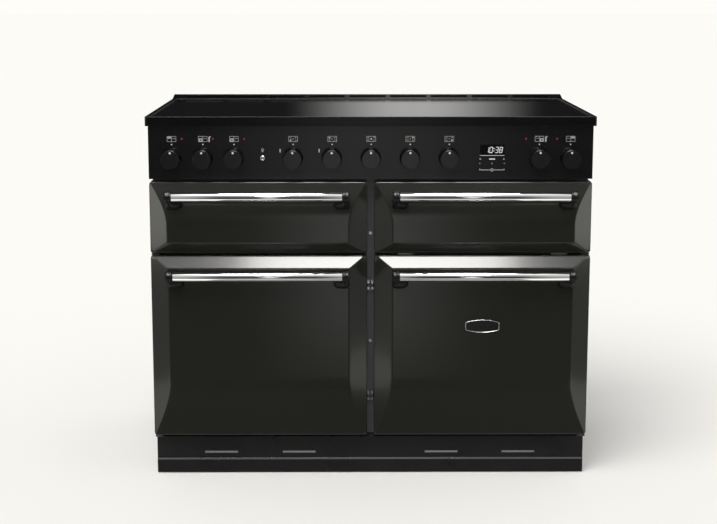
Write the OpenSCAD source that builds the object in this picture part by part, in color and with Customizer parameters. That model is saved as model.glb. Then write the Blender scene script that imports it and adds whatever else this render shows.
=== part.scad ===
// Free-standing induction range cooker: a hob over two bow-fronted compartments and two tall ovens.
// X runs across the front, the front faces -Y, Z is up, and the floor is z = 0.

/* [Overall] */
// Width across the hob surround
hob_w = 1100; // [1060:5:1200]
// Depth of the hob surround, front to back
hob_d = 600; // [580:5:640]
// Height from the floor to the hob surround
total_h = 908; // [895:1:930]
// Height of the hob surround
surround_h = 23; // [18:1:30]
// Width across the cabinet behind doors of the drawn width
body_w = 1080; // [1060:2:1180]
// Sheet thickness of the cabinet panels
sheet = 1.5; // [1:0.1:2]

/* [Plinth] */
// Height of the plinth's lower strip
toe_h = 36; // [25:1:50]
// Height of the bright line above the lower strip
line_h = 4; // [2:0.5:8]
// Height of the plinth's upper panel
kick_h = 56; // [40:1:70]
// Length of one plinth slot
slot_l = 83; // [40:1:110]
// Height of one plinth slot
slot_h = 5; // [3:0.5:10]

/* [Doors] */
// Width of each door
door_w = 535; // [515:1:560]
// Gap between the left and right doors
centre_gap = 17; // [12:1:24]
// Gap between the plinth and the oven doors
low_gap = 7; // [5:0.5:12]
// Height of the oven doors; with the upper fronts they share the room under the panel
oven_door_h = 461; // [430:1:480]
// Gap between the oven doors and the upper fronts
mid_gap = 6; // [5.6:0.2:9]
// Height of the upper fronts
top_door_h = 177; // [165:1:190]
// Thickness of a door from its edge plane to its back
door_t = 40; // [34:1:46]
// Gap between a door's back and the front frame
door_gap = 3; // [2.6:0.1:5]
// How far the bowed face stands in front of the door's edge
bulge = 24; // [12:1:32]
// Width of the chamfer at each side of a door
side_chamfer = 43; // [25:1:60]
// Height of the chamfer along the straight end of a door
end_chamfer = 29; // [15:1:40]
// Height over which an oven door's face rolls back at the bottom
oven_roll = 160; // [80:5:220]
// Height over which an upper front rolls back at the top
top_roll = 106; // [60:2:120]
// Thickness of the door's steel skin
skin = 2; // [1.5:0.1:3]

/* [Handles] */
// Radius of a handle bar
bar_r = 11; // [8:0.5:13]
// Distance from the bowed face to the bar's centre
standoff = 40; // [34:1:50]
// Length of a handle over its brackets
handle_l = 447; // [360:1:470]
// Width of one handle bracket
bracket_w = 16; // [12:1:22]
// Height of an oven door's bar below the door's top edge
oven_bar_drop = 41; // [38:1:60]
// Height of an upper front's bar below its top edge
top_bar_drop = 28; // [22:1:36]

/* [Control panel] */
// Height of the control panel
panel_h = 130; // [115:1:140]
// Radius of a knob's grip
knob_r = 24; // [17:0.5:26]
// Depth of a knob in front of the panel
knob_depth = 31; // [22:1:36]
// Distance between the oven knobs
oven_knob_pitch = 76.2; // [60:0.2:80]
// Distance between the hob knobs
hob_knob_pitch = 95.4; // [70:0.2:98]
// Height of the knob centres above the control panel's lower edge
knob_up = 52; // [40:1:65]
// Travel of the oven light button
button_travel = 3; // [2:0.5:4]

/* [Compartments] */
// Inside width of every compartment
cavity_w = 430; // [380:2:440]
// Inside height of the two ovens
oven_h = 370; // [320:2:380]
// Inside height of the two upper compartments
top_h = 118; // [100:2:124]
// Inside depth of every compartment
cavity_d = 430; // [380:2:440]
// Thickness of the insulation round a compartment
wool = 20; // [12:1:24]
// Thickness of a compartment's enamelled steel
liner_t = 1.6; // [1.2:0.1:2]

/* [Hob] */
// Thickness of the glass
glass_t = 6; // [4:0.5:8]
// Width of the surround's rim beside the glass
rim = 12; // [9:1:16]
// Depth of the rear vent strip
vent_d = 52; // [40:1:70]
// Number of vent slots
vent_slots = 9; // [6:1:10]
// Radius of the large hob coil
big_coil_r = 105; // [90:1:110]
// Radius of the small hob coils
small_coil_r = 80; // [60:1:88]

/* [Running gear] */
// Radius of a rear roller
roller_r = 18; // [14:1:22]
// Radius of a roller axle
axle_r = 4; // [3:0.5:5]
// Radius of a levelling foot's pad
foot_r = 19; // [15:1:24]
// Radius of the cable gland's bore
gland_r = 9; // [7:0.5:11]

/* [Hidden] */
$fn = 48;

// Places along Y, from the handles at the front to the wall behind
face_set = 8;
ring_r = bar_r + 3;
handle_ahead = bulge + standoff + ring_r - face_set;
y_back = (hob_d + handle_ahead) / 2;
hob_front = y_back - hob_d;
door_face = hob_front + face_set;
door_back = door_face + door_t;
frame_y = door_back + door_gap;
frame_t = 2;
inner_y = frame_y + frame_t;
service_gap = 45;
back_y = y_back - service_gap;
panel_y = hob_front + 12;
panel_t = 2;
kick_y = door_face + 12;
bar_y = door_face - bulge - standoff;

// Places along Z: the two rows of doors share the room between the plinth and the panel
panel_gap = 1;
top_gap = 7;
plinth_top = toe_h + line_h + kick_h;
low_z = plinth_top + low_gap;
surround_z = total_h - surround_h;
panel_z = surround_z - panel_gap - panel_h;
tall = (panel_z - top_gap - mid_gap - low_z) / (oven_door_h + top_door_h);
low_h = oven_door_h * tall;
upper_h = top_door_h * tall;
low_top = low_z + low_h;
top_z = low_top + mid_gap;
top_top = top_z + upper_h;
knob_z = panel_z + knob_up;
tub_h = oven_h * tall;
small_h = top_h * tall;
oven_z = low_z + (low_h - tub_h) / 2;
small_z = top_z + (upper_h - small_h) / 2;
frame_drop = 30;
frame_bottom = plinth_top - frame_drop;

// Places along X: the cabinet and what lies behind or above the doors spread as the doors widen
drawn_door_w = 535;
drawn_body_w = 1080;
wide = door_w / drawn_door_w;
half_w = body_w / 2 + door_w - drawn_door_w;
spread = 2 * half_w / drawn_body_w;
door_past = 3.5;
door_x = max((centre_gap + door_w) / 2, half_w + door_past - door_w / 2);
edge_x = door_x + door_w / 2;
tub_room = liner_t + wool + 2;
half_cavity = min(cavity_w * wide / 2, half_w - sheet - tub_room - door_x);
handle_w = handle_l * wide;

// Clearances
touch = 0.2;
run = 0.05;
slide_gap = 0.3;

// Hinges
hinge_in = 12;
hinge_side = 8.5;
hinge_y = door_face + 8;
hinge_x = min(edge_x - hinge_in, half_w - hinge_side);
pin_r = 4;
boss_r = 7;
pin_reach = 14;
leaf_t = 2.6;
drop_y = door_face + 1;
drop_z = top_z - mid_gap / 2;
drop_pin_r = 1.5;
knuckle_r = 2.6;
knuckle_l = 16;
drop_spread = 190 * wide;

// Hob
glass_set = 1.5;
glass_z = total_h - glass_set - glass_t;
glass_back = y_back - vent_d;
vent_rise = 9;
hob_past = 10;
tray_h = 40;
tray_z = surround_z - tray_h;
tray_t = 1.5;
tray_in = 12;
tray_front = inner_y + 2;
tray_back = glass_back - 6;
tray_half = min(hob_w / 2 - hob_past, half_w) - tray_in;
hob_mid = (tray_front + tray_back) / 2;
zone_in = 180;
zone_x = hob_w / 2 - zone_in;
zone_y = 125;
zones = [
    [-zone_x, -zone_y, small_coil_r], [-zone_x, zone_y, small_coil_r], [0, 0, big_coil_r],
    [zone_x, zone_y, small_coil_r], [zone_x, -zone_y, small_coil_r]
];
fan_behind = 165;
fan_y = hob_mid + fan_behind;
fan_r = 36;

// Knobs, as the places of the switches along the panel
end_knob_in = 52.5;
end_knob_x = half_w - end_knob_in * spread;
oven_step = oven_knob_pitch * spread;
hob_step = hob_knob_pitch * spread;
knob_places = concat(
    [for (i = [0:2]) i * oven_step - end_knob_x],
    [for (i = [-2:2]) i * hob_step],
    [end_knob_x - oven_step, end_knob_x]
);
skirt_r = knob_r + 1;
knob_off = 1.5;
spindle_r = 3;
spindle_l = 18;
switch_w = 34;
switch_d = 26;
lamp_dx = 26;
lamp_up = 47;
lamp_back = 32;
lamp_places = concat(
    [for (i = [0:2]) i * oven_step - end_knob_x + lamp_dx],
    [for (i = [0:1]) end_knob_x - i * oven_step - lamp_back]
);
neon_r = 2.5;
drawn_button_x = -264.6;
button_x = drawn_button_x * spread;
button_r = 6;
button_out = button_travel + 3;
button_in = 12;
drawn_clock_x = 297;
clock_x = drawn_clock_x * spread;
clock_w = 60;
clock_h = 25;
clock_up = 59;
clock_z = panel_z + clock_up;

// Ovens
flange = 8;
liner_back = inner_y + cavity_d;
motor_y = liner_back + liner_t;
motor_l = 55;
motor_r = 30;
shaft_r = 4;
cover_off = 45;
cover_y = liner_back - cover_off;
oven_mid_z = oven_z + tub_h / 2;
runner_up = 30;
runner_z = small_z + runner_up;
runner_l = 400;
channel_w = 12;
channel_up = 11;
channel_t = 2;
pan_l = 350;
pan_h = 36;
ledge_drop = 5.2;
ledge_z = runner_z - ledge_drop;
lamp_ahead = 68;
lamp_y = cover_y - lamp_ahead;

module block(a, b) {
    translate(a) cube(b - a);
}

module both_sides(x) {
    for (side = [-1, 1]) translate([side * x, 0, 0]) children();
}

// A cylinder whose axis runs forward, from y to y - length
module forward(x, y, z, r, length) {
    translate([x, y, z]) rotate([90, 0, 0]) cylinder(r = r, h = length);
}

// A cylinder whose axis runs along X, centred on x
module across(x, y, z, r, length) {
    translate([x, y, z]) rotate([0, 90, 0]) cylinder(r = r, h = length, center = true);
}

// Share of the bulge at a height above a door's foot: a quarter sine over the rolled part
least = 0.02;
function share(t) = max(least, sin(90 * min(1, max(0, t))));
roll_steps = 8;

// Heights and shares up an oven door: rolled at the foot, chamfered at the top
function oven_rows(h) = concat(
    [for (i = [0:roll_steps]) [i / roll_steps * oven_roll, share(i / roll_steps)]],
    [[h - end_chamfer, 1], [h, least]]
);

// Heights and shares up an upper front: chamfered at the foot, rolled at the top
function top_rows(h) = concat(
    [[0, least], [end_chamfer, 1]],
    [for (i = [roll_steps:-1:0]) [h - i / roll_steps * top_roll, share(i / roll_steps)]]
);

// The bowed form: each row is a six-cornered outline whose front stands out by its share
module bowed(w, rows, depth) {
    count = len(rows);
    points = [
        for (row = rows)
            let (c = side_chamfer * row[1], p = bulge * row[1])
            each [
                [0, 0, row[0]], [c, -p, row[0]], [w - c, -p, row[0]],
                [w, 0, row[0]], [w, depth, row[0]], [0, depth, row[0]]
            ]
    ];
    walls = [
        for (i = [0:count - 2])
            for (j = [0:5])
                let (a = 6 * i + j, b = 6 * i + (j + 1) % 6)
                each [[a, a + 6, b + 6], [a, b + 6, b]]
    ];
    foot = [for (j = [0:5]) j];
    head = [for (j = [5:-1:0]) 6 * (count - 1) + j];
    polyhedron(points, concat([foot], walls, [head]));
}

// A door's pressed skin, open at the back; its lower left front corner is at the origin
module door_skin(h, outer, inner) {
    difference() {
        bowed(door_w, outer, door_t);
        translate([skin, skin, skin]) bowed(door_w - 2 * skin, inner, door_t);
    }
}

// The enamelled pan that closes a door's back
pan_t = 12;
module inner_pan(x, z, h) {
    inset = skin + touch;
    w = door_w - 2 * inset;
    difference() {
        block([x - w / 2, door_back - pan_t, z + inset], [x + w / 2, door_back, z + h - inset]);
        block([x - w / 2 + liner_t, door_back - pan_t - 1, z + inset + liner_t],
            [x + w / 2 - liner_t, door_back - liner_t, z + h - inset - liner_t]);
    }
}

module oven_door(side) {
    color([0.26, 0.26, 0.24])
    difference() {
        union() {
            translate([side * door_x - door_w / 2, door_face, low_z])
                door_skin(low_h, oven_rows(low_h), oven_rows(low_h - 2 * skin));
            translate([side * hinge_x, hinge_y, low_z + 1]) cylinder(r = boss_r, h = pin_reach + 2);
            translate([side * hinge_x, hinge_y, low_top - pin_reach - 3])
                cylinder(r = boss_r, h = pin_reach + 2);
        }
        translate([side * hinge_x, hinge_y, low_z - 1])
            cylinder(r = pin_r + run, h = pin_reach + 2);
        translate([side * hinge_x, hinge_y, low_top - pin_reach - 1])
            cylinder(r = pin_r + run, h = pin_reach + 2);
    }
}

module oven_door_left() oven_door(-1);
module oven_door_right() oven_door(1);

module inner_door_left() {
    color([0.3, 0.3, 0.32]) inner_pan(-door_x, low_z, low_h);
}

module inner_door_right() {
    color([0.3, 0.3, 0.32]) inner_pan(door_x, low_z, low_h);
}

module inner_door_slow() {
    color([0.3, 0.3, 0.32]) inner_pan(door_x, top_z, upper_h);
}

module grill_front() {
    color([0.26, 0.26, 0.24])
        translate([-door_x - door_w / 2, door_face, top_z])
            door_skin(upper_h, top_rows(upper_h), top_rows(upper_h - 2 * skin));
}

// The drop-down door of the slow oven, with its hinge lugs and pins under the front edge
lug_l = 10;
lug_off = knuckle_l / 2 + slide_gap + lug_l / 2;
module slow_door() {
    color([0.26, 0.26, 0.24]) {
        translate([door_x - door_w / 2, door_face, top_z])
            door_skin(upper_h, top_rows(upper_h), top_rows(upper_h - 2 * skin));
        for (side = [-1, 1]) translate([door_x + side * drop_spread, 0, 0]) {
            across(0, drop_y, drop_z, drop_pin_r, knuckle_l + 2 * lug_l);
            for (end = [-1, 1]) {
                x = end * lug_off;
                across(x, drop_y, drop_z, knuckle_r, lug_l);
                block([x - lug_l / 2, drop_y - 0.9, drop_z], [x + lug_l / 2, drop_y + 1.6, top_z + skin / 2]);
            }
        }
    }
}

// A handle's bracket, seen from the end: the foot follows the bowed face, the arm rises to the bar
socket_deep = bracket_w - 3;
foot_steps = 5;
foot_reach = 23;
module bracket(end, bar_z, face_at) {
    foot_low = bar_z - 37;
    foot_high = bar_z - 12;
    foot = [
        for (i = [0:foot_steps])
            let (z = foot_low + (foot_high - foot_low) * i / foot_steps)
            [door_face - bulge * face_at(z) - touch, z]
    ];
    arm = concat(foot, [[bar_y + 6, bar_z + ring_r - 3], [bar_y - 6, bar_z - ring_r + 2]]);
    pad = concat(foot, [[foot[foot_steps][0] - 9, foot_high], [foot[0][0] - 5, foot_low]]);
    outside = end * handle_w / 2;
    from = end > 0 ? outside - bracket_w : outside;
    pad_from = end > 0 ? outside - bracket_w - foot_reach : outside;
    difference() {
        union() {
            across((outside * 2 - end * bracket_w) / 2, bar_y, bar_z, ring_r, bracket_w);
            translate([from, 0, 0]) rotate([90, 0, 90]) linear_extrude(bracket_w) polygon(arm);
            translate([pad_from, 0, 0]) rotate([90, 0, 90])
                linear_extrude(bracket_w + foot_reach) polygon(pad);
        }
        across(outside - end * (bracket_w - socket_deep / 2 + 0.5), bar_y, bar_z,
            bar_r + run, socket_deep + 1);
    }
}

bar_wall = 1.5;
module handle(x, bar_z, face_at) {
    bar_l = handle_w - 2 * (bracket_w - socket_deep) - 2 * run;
    translate([x, 0, 0]) {
        color([0.8, 0.8, 0.8]) difference() {
            across(0, bar_y, bar_z, bar_r, bar_l);
            across(0, bar_y, bar_z, bar_r - bar_wall, bar_l + 2);
        }
        color([0.1, 0.1, 0.1]) {
            bracket(-1, bar_z, face_at);
            bracket(1, bar_z, face_at);
        }
    }
}

oven_bar_z = low_top - oven_bar_drop;
top_bar_z = top_top - top_bar_drop;
oven_face_at = function(z) share((z - low_z) / oven_roll);
top_face_at = function(z) share((top_top - z) / top_roll);
module handle_left() handle(-door_x, oven_bar_z, oven_face_at);
module handle_right() handle(door_x, oven_bar_z, oven_face_at);
module grill_handle() handle(-door_x, top_bar_z, top_face_at);
module slow_handle() handle(door_x, top_bar_z, top_face_at);

badge_w = 84;
badge_h = 33;
badge_end = 19.6;
badge_steps = 10;
badge_t = 2;
badge_up = 287 * tall;
badge_z = low_z + badge_up;
module badge_plate() {
    face = door_face - bulge - touch / 2;
    swell = (badge_h - badge_end) / 2;
    top = [for (i = [0:badge_steps]) let (u = 2 * i / badge_steps - 1)
        [u * badge_w / 2, badge_end / 2 + swell * (1 - u * u)]];
    foot = [for (i = [badge_steps:-1:0]) [top[i][0], -top[i][1]]];
    color([0.6, 0.6, 0.6]) translate([door_x, face, badge_z]) rotate([90, 0, 0])
        linear_extrude(badge_t) polygon(concat(top, foot));
}

// Brackets in the gaps above and below each oven door, with upright pins; and the drop door's arms
module door_hinges() {
    pad = 10;
    low_leaf = plinth_top + 2.5;
    high_leaf = low_top + 1.2;
    color([0.5, 0.5, 0.5]) {
        both_sides(hinge_x) {
            block([-pad, hinge_y - boss_r, low_leaf], [pad, frame_y, low_leaf + leaf_t]);
            translate([0, hinge_y, low_leaf]) cylinder(r = boss_r, h = low_z - low_leaf - touch);
            translate([0, hinge_y, low_leaf]) cylinder(r = pin_r, h = low_z + pin_reach - 1 - low_leaf);
            block([-pad, hinge_y - 5, high_leaf], [pad, frame_y, high_leaf + leaf_t]);
            translate([0, hinge_y, low_top - pin_reach + 1])
                cylinder(r = pin_r, h = high_leaf - low_top + pin_reach);
        }
        for (side = [-1, 1]) translate([door_x + side * drop_spread, 0, 0]) difference() {
            union() {
                across(0, drop_y, drop_z, knuckle_r, knuckle_l);
                block([-knuckle_l / 2, drop_y, drop_z - 1], [knuckle_l / 2, frame_y, drop_z + 1]);
            }
            across(0, drop_y, drop_z, drop_pin_r + run, knuckle_l + 2);
        }
    }
}

// The grill's carriage: an inner pan that closes the front, and two members that run in the rails
member_up = channel_up - channel_t - slide_gap;
member_in = 18;
lip_in = 34;
module grill_carriage() {
    member_x = half_cavity - channel_t - slide_gap;
    color([0.55, 0.55, 0.56]) union() {
        inner_pan(-door_x, top_z, upper_h);
        translate([-door_x, 0, 0]) for (side = [-1, 1]) {
            outer = side * member_x;
            inner = side * (half_cavity - member_in);
            lip = side * (half_cavity - lip_in);
            block([min(outer, inner), door_back - 1, runner_z - member_up],
                [max(outer, inner), inner_y + runner_l, runner_z + member_up]);
            block([min(inner, lip), door_back - 1, runner_z - member_up],
                [max(inner, lip), inner_y + runner_l, ledge_z]);
        }
        block([-door_x - half_cavity + lip_in - 4, inner_y + runner_l - 12, runner_z - member_up],
            [-door_x + half_cavity - lip_in + 4, inner_y + runner_l, ledge_z]);
    }
}

// Channels fixed to the walls of the grill compartment
module grill_runners() {
    w = channel_w / 2;
    up = channel_up - channel_t;
    color([0.6, 0.6, 0.62])
    for (side = [-1, 1]) translate([-door_x + side * (half_cavity - w), inner_y + 4, runner_z])
        difference() {
            block([-w, 0, -channel_up], [w, runner_l, channel_up]);
            translate([-side * channel_t, 0, 0]) block([-w, -1, -up], [w, runner_l + 1, up]);
        }
}

// The grill pan rests on the carriage's ledges and carries a wire trivet
pan_in = 20;
pan_wall = 2;
rack_r = 2;
rack_bars = 13;
rack_step = 25;
rack_rail_x = 120 * wide;
module grill_pan() {
    half = half_cavity - pan_in;
    y0 = inner_y + pan_in;
    rack_z = ledge_z + pan_h + rack_r + run;
    color([0.2, 0.2, 0.2]) difference() {
        block([-door_x - half, y0, ledge_z + run], [-door_x + half, y0 + pan_l, ledge_z + pan_h]);
        block([-door_x - half + pan_wall, y0 + pan_wall, ledge_z + pan_wall],
            [-door_x + half - pan_wall, y0 + pan_l - pan_wall, ledge_z + pan_h + 1]);
    }
    color([0.75, 0.75, 0.75]) union() {
        for (i = [0:rack_bars - 1])
            translate([-door_x, y0 + rack_step + i * rack_step, rack_z]) rotate([0, 90, 0])
                cylinder(r = rack_r, h = 2 * half, center = true, $fn = 8);
        for (x = [-rack_rail_x, 0, rack_rail_x])
            translate([-door_x + x, y0 + rack_step - 5, rack_z + rack_r]) rotate([-90, 0, 0])
                cylinder(r = rack_r, h = (rack_bars - 1) * rack_step + 10, $fn = 8);
    }
}

// A compartment's enamelled tub, open at the front, with a flange behind the front frame
module liner(x, z, h, hole) {
    w = half_cavity;
    color([0.16, 0.16, 0.18]) difference() {
        union() {
            block([x - w - liner_t, inner_y, z - liner_t],
                [x + w + liner_t, liner_back + liner_t, z + h + liner_t]);
            block([x - w - flange, inner_y, z - flange],
                [x + w + flange, inner_y + liner_t, z + h + flange]);
        }
        block([x - w, inner_y - 1, z], [x + w, liner_back, z + h]);
        if (hole > 0) forward(x, liner_back + 10, z + h / 2, hole, 20);
    }
}

shaft_hole = 9;
module oven_liner_left() liner(-door_x, oven_z, tub_h, shaft_hole);
module oven_liner_right() liner(door_x, oven_z, tub_h, shaft_hole);
module grill_liner() liner(-door_x, small_z, small_h, 0);
module slow_oven_liner() liner(door_x, small_z, small_h, 0);

module wrap(x, z, h, hole) {
    near = liner_t + slide_gap;
    w = half_cavity;
    difference() {
        block([x - w - near - wool, inner_y + near, z - near - wool],
            [x + w + near + wool, motor_y + slide_gap + wool, z + h + near + wool]);
        block([x - w - near, inner_y, z - near],
            [x + w + near, motor_y + slide_gap, z + h + near]);
        if (hole > 0) forward(x, motor_y + wool + 5, z + h / 2, hole, wool + 10);
    }
}

module insulation() {
    color([0.85, 0.8, 0.6]) {
        for (side = [-1, 1]) {
            wrap(side * door_x, oven_z, tub_h, motor_r + 3);
            wrap(side * door_x, small_z, small_h, 0);
        }
    }
}

seal_w = 8;
seal_t = door_gap - slide_gap;
seal_out = 3;
module seal(x, z, h) {
    w = half_cavity + seal_out;
    low = z - seal_out;
    high = z + h + seal_out;
    difference() {
        block([x - w - seal_w, frame_y - seal_t, low - seal_w], [x + w + seal_w, frame_y, high + seal_w]);
        block([x - w, frame_y - seal_t - 1, low], [x + w, frame_y + 1, high]);
    }
}

module door_seals() {
    color([0.12, 0.12, 0.12]) {
        seal(-door_x, oven_z, tub_h);
        seal(door_x, oven_z, tub_h);
        seal(door_x, small_z, small_h);
    }
}

module front_frame() {
    color([0.22, 0.22, 0.23]) difference() {
        block([-half_w, frame_y, frame_bottom], [half_w, inner_y, panel_z]);
        for (side = [-1, 1]) {
            block([side * door_x - half_cavity, frame_y - 1, oven_z],
                [side * door_x + half_cavity, inner_y + 1, oven_z + tub_h]);
            block([side * door_x - half_cavity, frame_y - 1, small_z],
                [side * door_x + half_cavity, inner_y + 1, small_z + small_h]);
        }
    }
}

// Roller catches and screw heads on the strip between the doors
catch_x = centre_gap / 2 - 1.3;
catch_w = 5;
catch_h = 24;
catch_ahead = 10;
catch_roll = 8;
catch_up = [93, 379];
screw_up = [234, 510];
screw_r = 4;
screw_t = 2.5;
module door_catches() {
    color([0.7, 0.7, 0.7]) {
        for (up = catch_up * tall) for (side = [-1, 1]) union() {
            block([min(side * catch_x, side * (catch_x - catch_w)), frame_y - catch_ahead,
                low_z + up - catch_h / 2],
                [max(side * catch_x, side * (catch_x - catch_w)), frame_y, low_z + up + catch_h / 2]);
            translate([side * (catch_x - catch_w / 2), frame_y - catch_ahead - 2,
                low_z + up - catch_roll / 2]) cylinder(r = catch_w / 2, h = catch_roll);
        }
        for (up = screw_up * tall) forward(0, frame_y, low_z + up, screw_r, screw_t);
    }
}

module side_panel(side) {
    x = side > 0 ? half_w - sheet : -half_w;
    color([0.1, 0.1, 0.1])
        block([x, inner_y, toe_h - 4], [x + sheet, back_y, surround_z]);
}
module side_panel_left() side_panel(-1);
module side_panel_right() side_panel(1);

louvre_rows = 6;
louvre_up = 30;
louvre_step = 18;
louvre_h = 6;
louvre_w = 120;
module back_panel() {
    color([0.6, 0.62, 0.62]) difference() {
        block([-half_w + sheet, back_y - sheet, plinth_top], [half_w - sheet, back_y, surround_z]);
        for (side = [-1, 1]) for (i = [0:louvre_rows - 1]) translate([side * door_x, 0, top_z + louvre_up])
            block([-louvre_w / 2, back_y - sheet - 1, i * louvre_step],
                [louvre_w / 2, back_y + 1, i * louvre_step + louvre_h]);
    }
}

rail_w = 34;
rail_t = 2;
rail_h = frame_drop + 8;
roller_w = 26;
roller_ahead = 40;
roller_in = 90;
roller_y = back_y - roller_ahead;
roller_x = half_w - roller_in;
ear_t = 3;
ear_w = 24;
ear_z = roller_r - 7;
module rail(y) {
    difference() {
        block([-half_w + sheet, y, plinth_top - rail_h], [half_w - sheet, y + rail_w, plinth_top]);
        block([-half_w + sheet + ear_t, y + rail_t, plinth_top - rail_h - 1],
            [half_w - sheet - ear_t, y + rail_w - rail_t, plinth_top - rail_t]);
    }
}

module base_chassis() {
    color([0.5, 0.52, 0.53]) union() {
        block([-half_w + sheet, inner_y, plinth_top - 1], [half_w - sheet, back_y - sheet, plinth_top]);
        rail(inner_y);
        rail(roller_y - rail_w / 2);
        both_sides(roller_x) {
            for (end = [-1, 1]) {
                x = end * (roller_w / 2 + slide_gap + ear_t / 2);
                block([x - ear_t / 2, roller_y - ear_w / 2, ear_z],
                    [x + ear_t / 2, roller_y + ear_w / 2, plinth_top - 1]);
            }
            across(0, roller_y, roller_r, axle_r, roller_w + 2 * slide_gap + ear_t);
        }
    }
}

module roller(side) {
    color([0.15, 0.15, 0.15]) difference() {
        across(side * roller_x, roller_y, roller_r, roller_r, roller_w);
        across(side * roller_x, roller_y, roller_r, axle_r + run, roller_w + 2);
    }
}
module roller_left() roller(-1);
module roller_right() roller(1);

stud_r = 6;
pad_h = 9;
nut_r = 10;
nut_h = 10;
foot_in = 70;
foot_x = half_w - foot_in;
module levelling_feet() {
    color([0.2, 0.2, 0.2]) both_sides(foot_x) translate([0, inner_y + rail_w / 2, 0]) union() {
        cylinder(r = foot_r, h = pad_h);
        cylinder(r = stud_r, h = plinth_top - rail_t);
        translate([0, 0, plinth_top - rail_t - nut_h]) cylinder(r = nut_r, h = nut_h, $fn = 6);
    }
}

// The kick panel with its slots, the bright line under it and the toe strip, as three pieces
slot_x = [-377, -180, 180, 375] * spread;
slot_up = 12;
line_out = 3;
toe_out = 2;
toe_low = 2;
module plinth() {
    w = half_w - 1;
    line_z = toe_h + line_h;
    color([0.08, 0.08, 0.08]) difference() {
        block([-w, kick_y, line_z], [w, frame_y, plinth_top]);
        block([-w + sheet, kick_y + sheet, line_z - 1], [w - sheet, frame_y + 1, plinth_top - sheet]);
        for (x = slot_x)
            block([x - slot_l / 2, kick_y - 1, line_z + slot_up],
                [x + slot_l / 2, kick_y + 2 * sheet, line_z + slot_up + slot_h]);
    }
    color([0.6, 0.6, 0.6]) block([-w, kick_y - line_out, toe_h], [w, kick_y + sheet, line_z]);
    color([0.08, 0.08, 0.08]) block([-w, kick_y - toe_out, toe_low], [w, kick_y + sheet, toe_h]);
}

// Wire ladders that hang on the oven walls, with rungs that carry the shelves
wire_r = 2.5;
rungs = 5;
rung_end = 45;
rung_gap = (tub_h - 2 * rung_end) / (rungs - 1);
rung_x = half_cavity - 7;
rung_front = 25;
rung_back = 15;
upright_in = 20;
ladder_end = 25;
function rung_z(i) = oven_z + rung_end + i * rung_gap;
module ladder(x, low, high, heights) {
    y0 = inner_y + rung_front;
    y1 = cover_y - rung_back;
    for (side = [-1, 1]) union() {
        for (y = [y0 + upright_in, y1 - upright_in]) translate([x + side * (half_cavity - wire_r - touch), y, low])
            cylinder(r = wire_r, h = high - low, $fn = 8);
        for (z = heights) translate([x + side * rung_x, y0, z]) rotate([-90, 0, 0])
            cylinder(r = wire_r, h = y1 - y0, $fn = 8);
    }
}

slow_rung_up = 35;
slow_ladder = [15, 80];
slow_rung = small_z + slow_rung_up;
module shelf_ladders() {
    color([0.75, 0.75, 0.75]) {
        for (side = [-1, 1])
            ladder(side * door_x, oven_z + ladder_end, oven_z + tub_h - ladder_end,
                [for (i = [0:rungs - 1]) rung_z(i)]);
        ladder(door_x, small_z + slow_ladder[0], small_z + slow_ladder[1], [slow_rung]);
    }
}

shelf_bars = 11;
rail_r = 3;
rod_thin = 2;
shelf_in = 8;
shelf_front = 30;
shelf_back = 22;
module wire_shelf(x, rest_z) {
    z = rest_z + wire_r + rail_r + touch / 2;
    y0 = inner_y + shelf_front;
    y1 = cover_y - shelf_back;
    half = half_cavity - shelf_in;
    union() {
        for (y = [y0 + rail_r, y1 - rail_r]) translate([x, y, z]) rotate([0, 90, 0])
            cylinder(r = rail_r, h = 2 * (half + rail_r), center = true, $fn = 8);
        for (i = [0:shelf_bars - 1])
            translate([x - half + 2 * half * i / (shelf_bars - 1), y0, z]) rotate([-90, 0, 0])
                cylinder(r = i == 0 || i == shelf_bars - 1 ? rail_r : rod_thin, h = y1 - y0, $fn = 8);
    }
}

module oven_shelves() {
    color([0.75, 0.75, 0.75]) {
        for (side = [-1, 1]) for (i = [1, 3]) wire_shelf(side * door_x, rung_z(i));
        wire_shelf(door_x, slow_rung);
    }
}

post_r = 4;
post_in = 12;
cover_half = 150;
eye_r = 26;
hole_ring = 62;
hole_r = 9;
module fan_covers() {
    through = 5;
    color([0.2, 0.2, 0.22]) for (side = [-1, 1]) translate([side * door_x, 0, oven_mid_z]) union() {
        difference() {
            block([-cover_half, cover_y, -cover_half], [cover_half, cover_y + liner_t, cover_half]);
            forward(0, cover_y + through, 0, eye_r, 2 * through);
            for (a = [0:30:330]) rotate([0, a, 0])
                forward(hole_ring, cover_y + through, 0, hole_r, 2 * through);
        }
        for (x = [-1, 1]) for (z = [-1, 1])
            forward(x * (cover_half - post_in), liner_back, z * (cover_half - post_in), post_r,
                cover_off - 0.5);
    }
}

hub_off = 8;
hub_y = liner_back - hub_off;
hub_nose = 6;
disc_r = 62;
disc_t = 1.5;
shaft_in = 25;
blades = 8;
blade_at = [34, 60];
blade_l = 20;
blade_t = 1.6;
module oven_fan(side) {
    color([0.6, 0.6, 0.6]) translate([side * door_x, 0, oven_mid_z]) union() {
        forward(0, hub_y, 0, disc_r, disc_t);
        for (i = [0:blades - 1]) rotate([0, 360 / blades * i, 0])
            block([blade_at[0], hub_y - blade_l - 1, -blade_t / 2], [blade_at[1], hub_y - 1, blade_t / 2]);
        forward(0, motor_y + shaft_in, 0, shaft_r, motor_y + shaft_in - hub_y + hub_nose);
    }
}
module oven_fan_left() oven_fan(-1);
module oven_fan_right() oven_fan(1);

module fan_motors() {
    color([0.5, 0.5, 0.5]) for (side = [-1, 1]) translate([side * door_x, 0, oven_mid_z])
        difference() {
            forward(0, motor_y + motor_l, 0, motor_r, motor_l);
            forward(0, motor_y + shaft_in + 2, 0, shaft_r + run, shaft_in + 5);
        }
}

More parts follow.
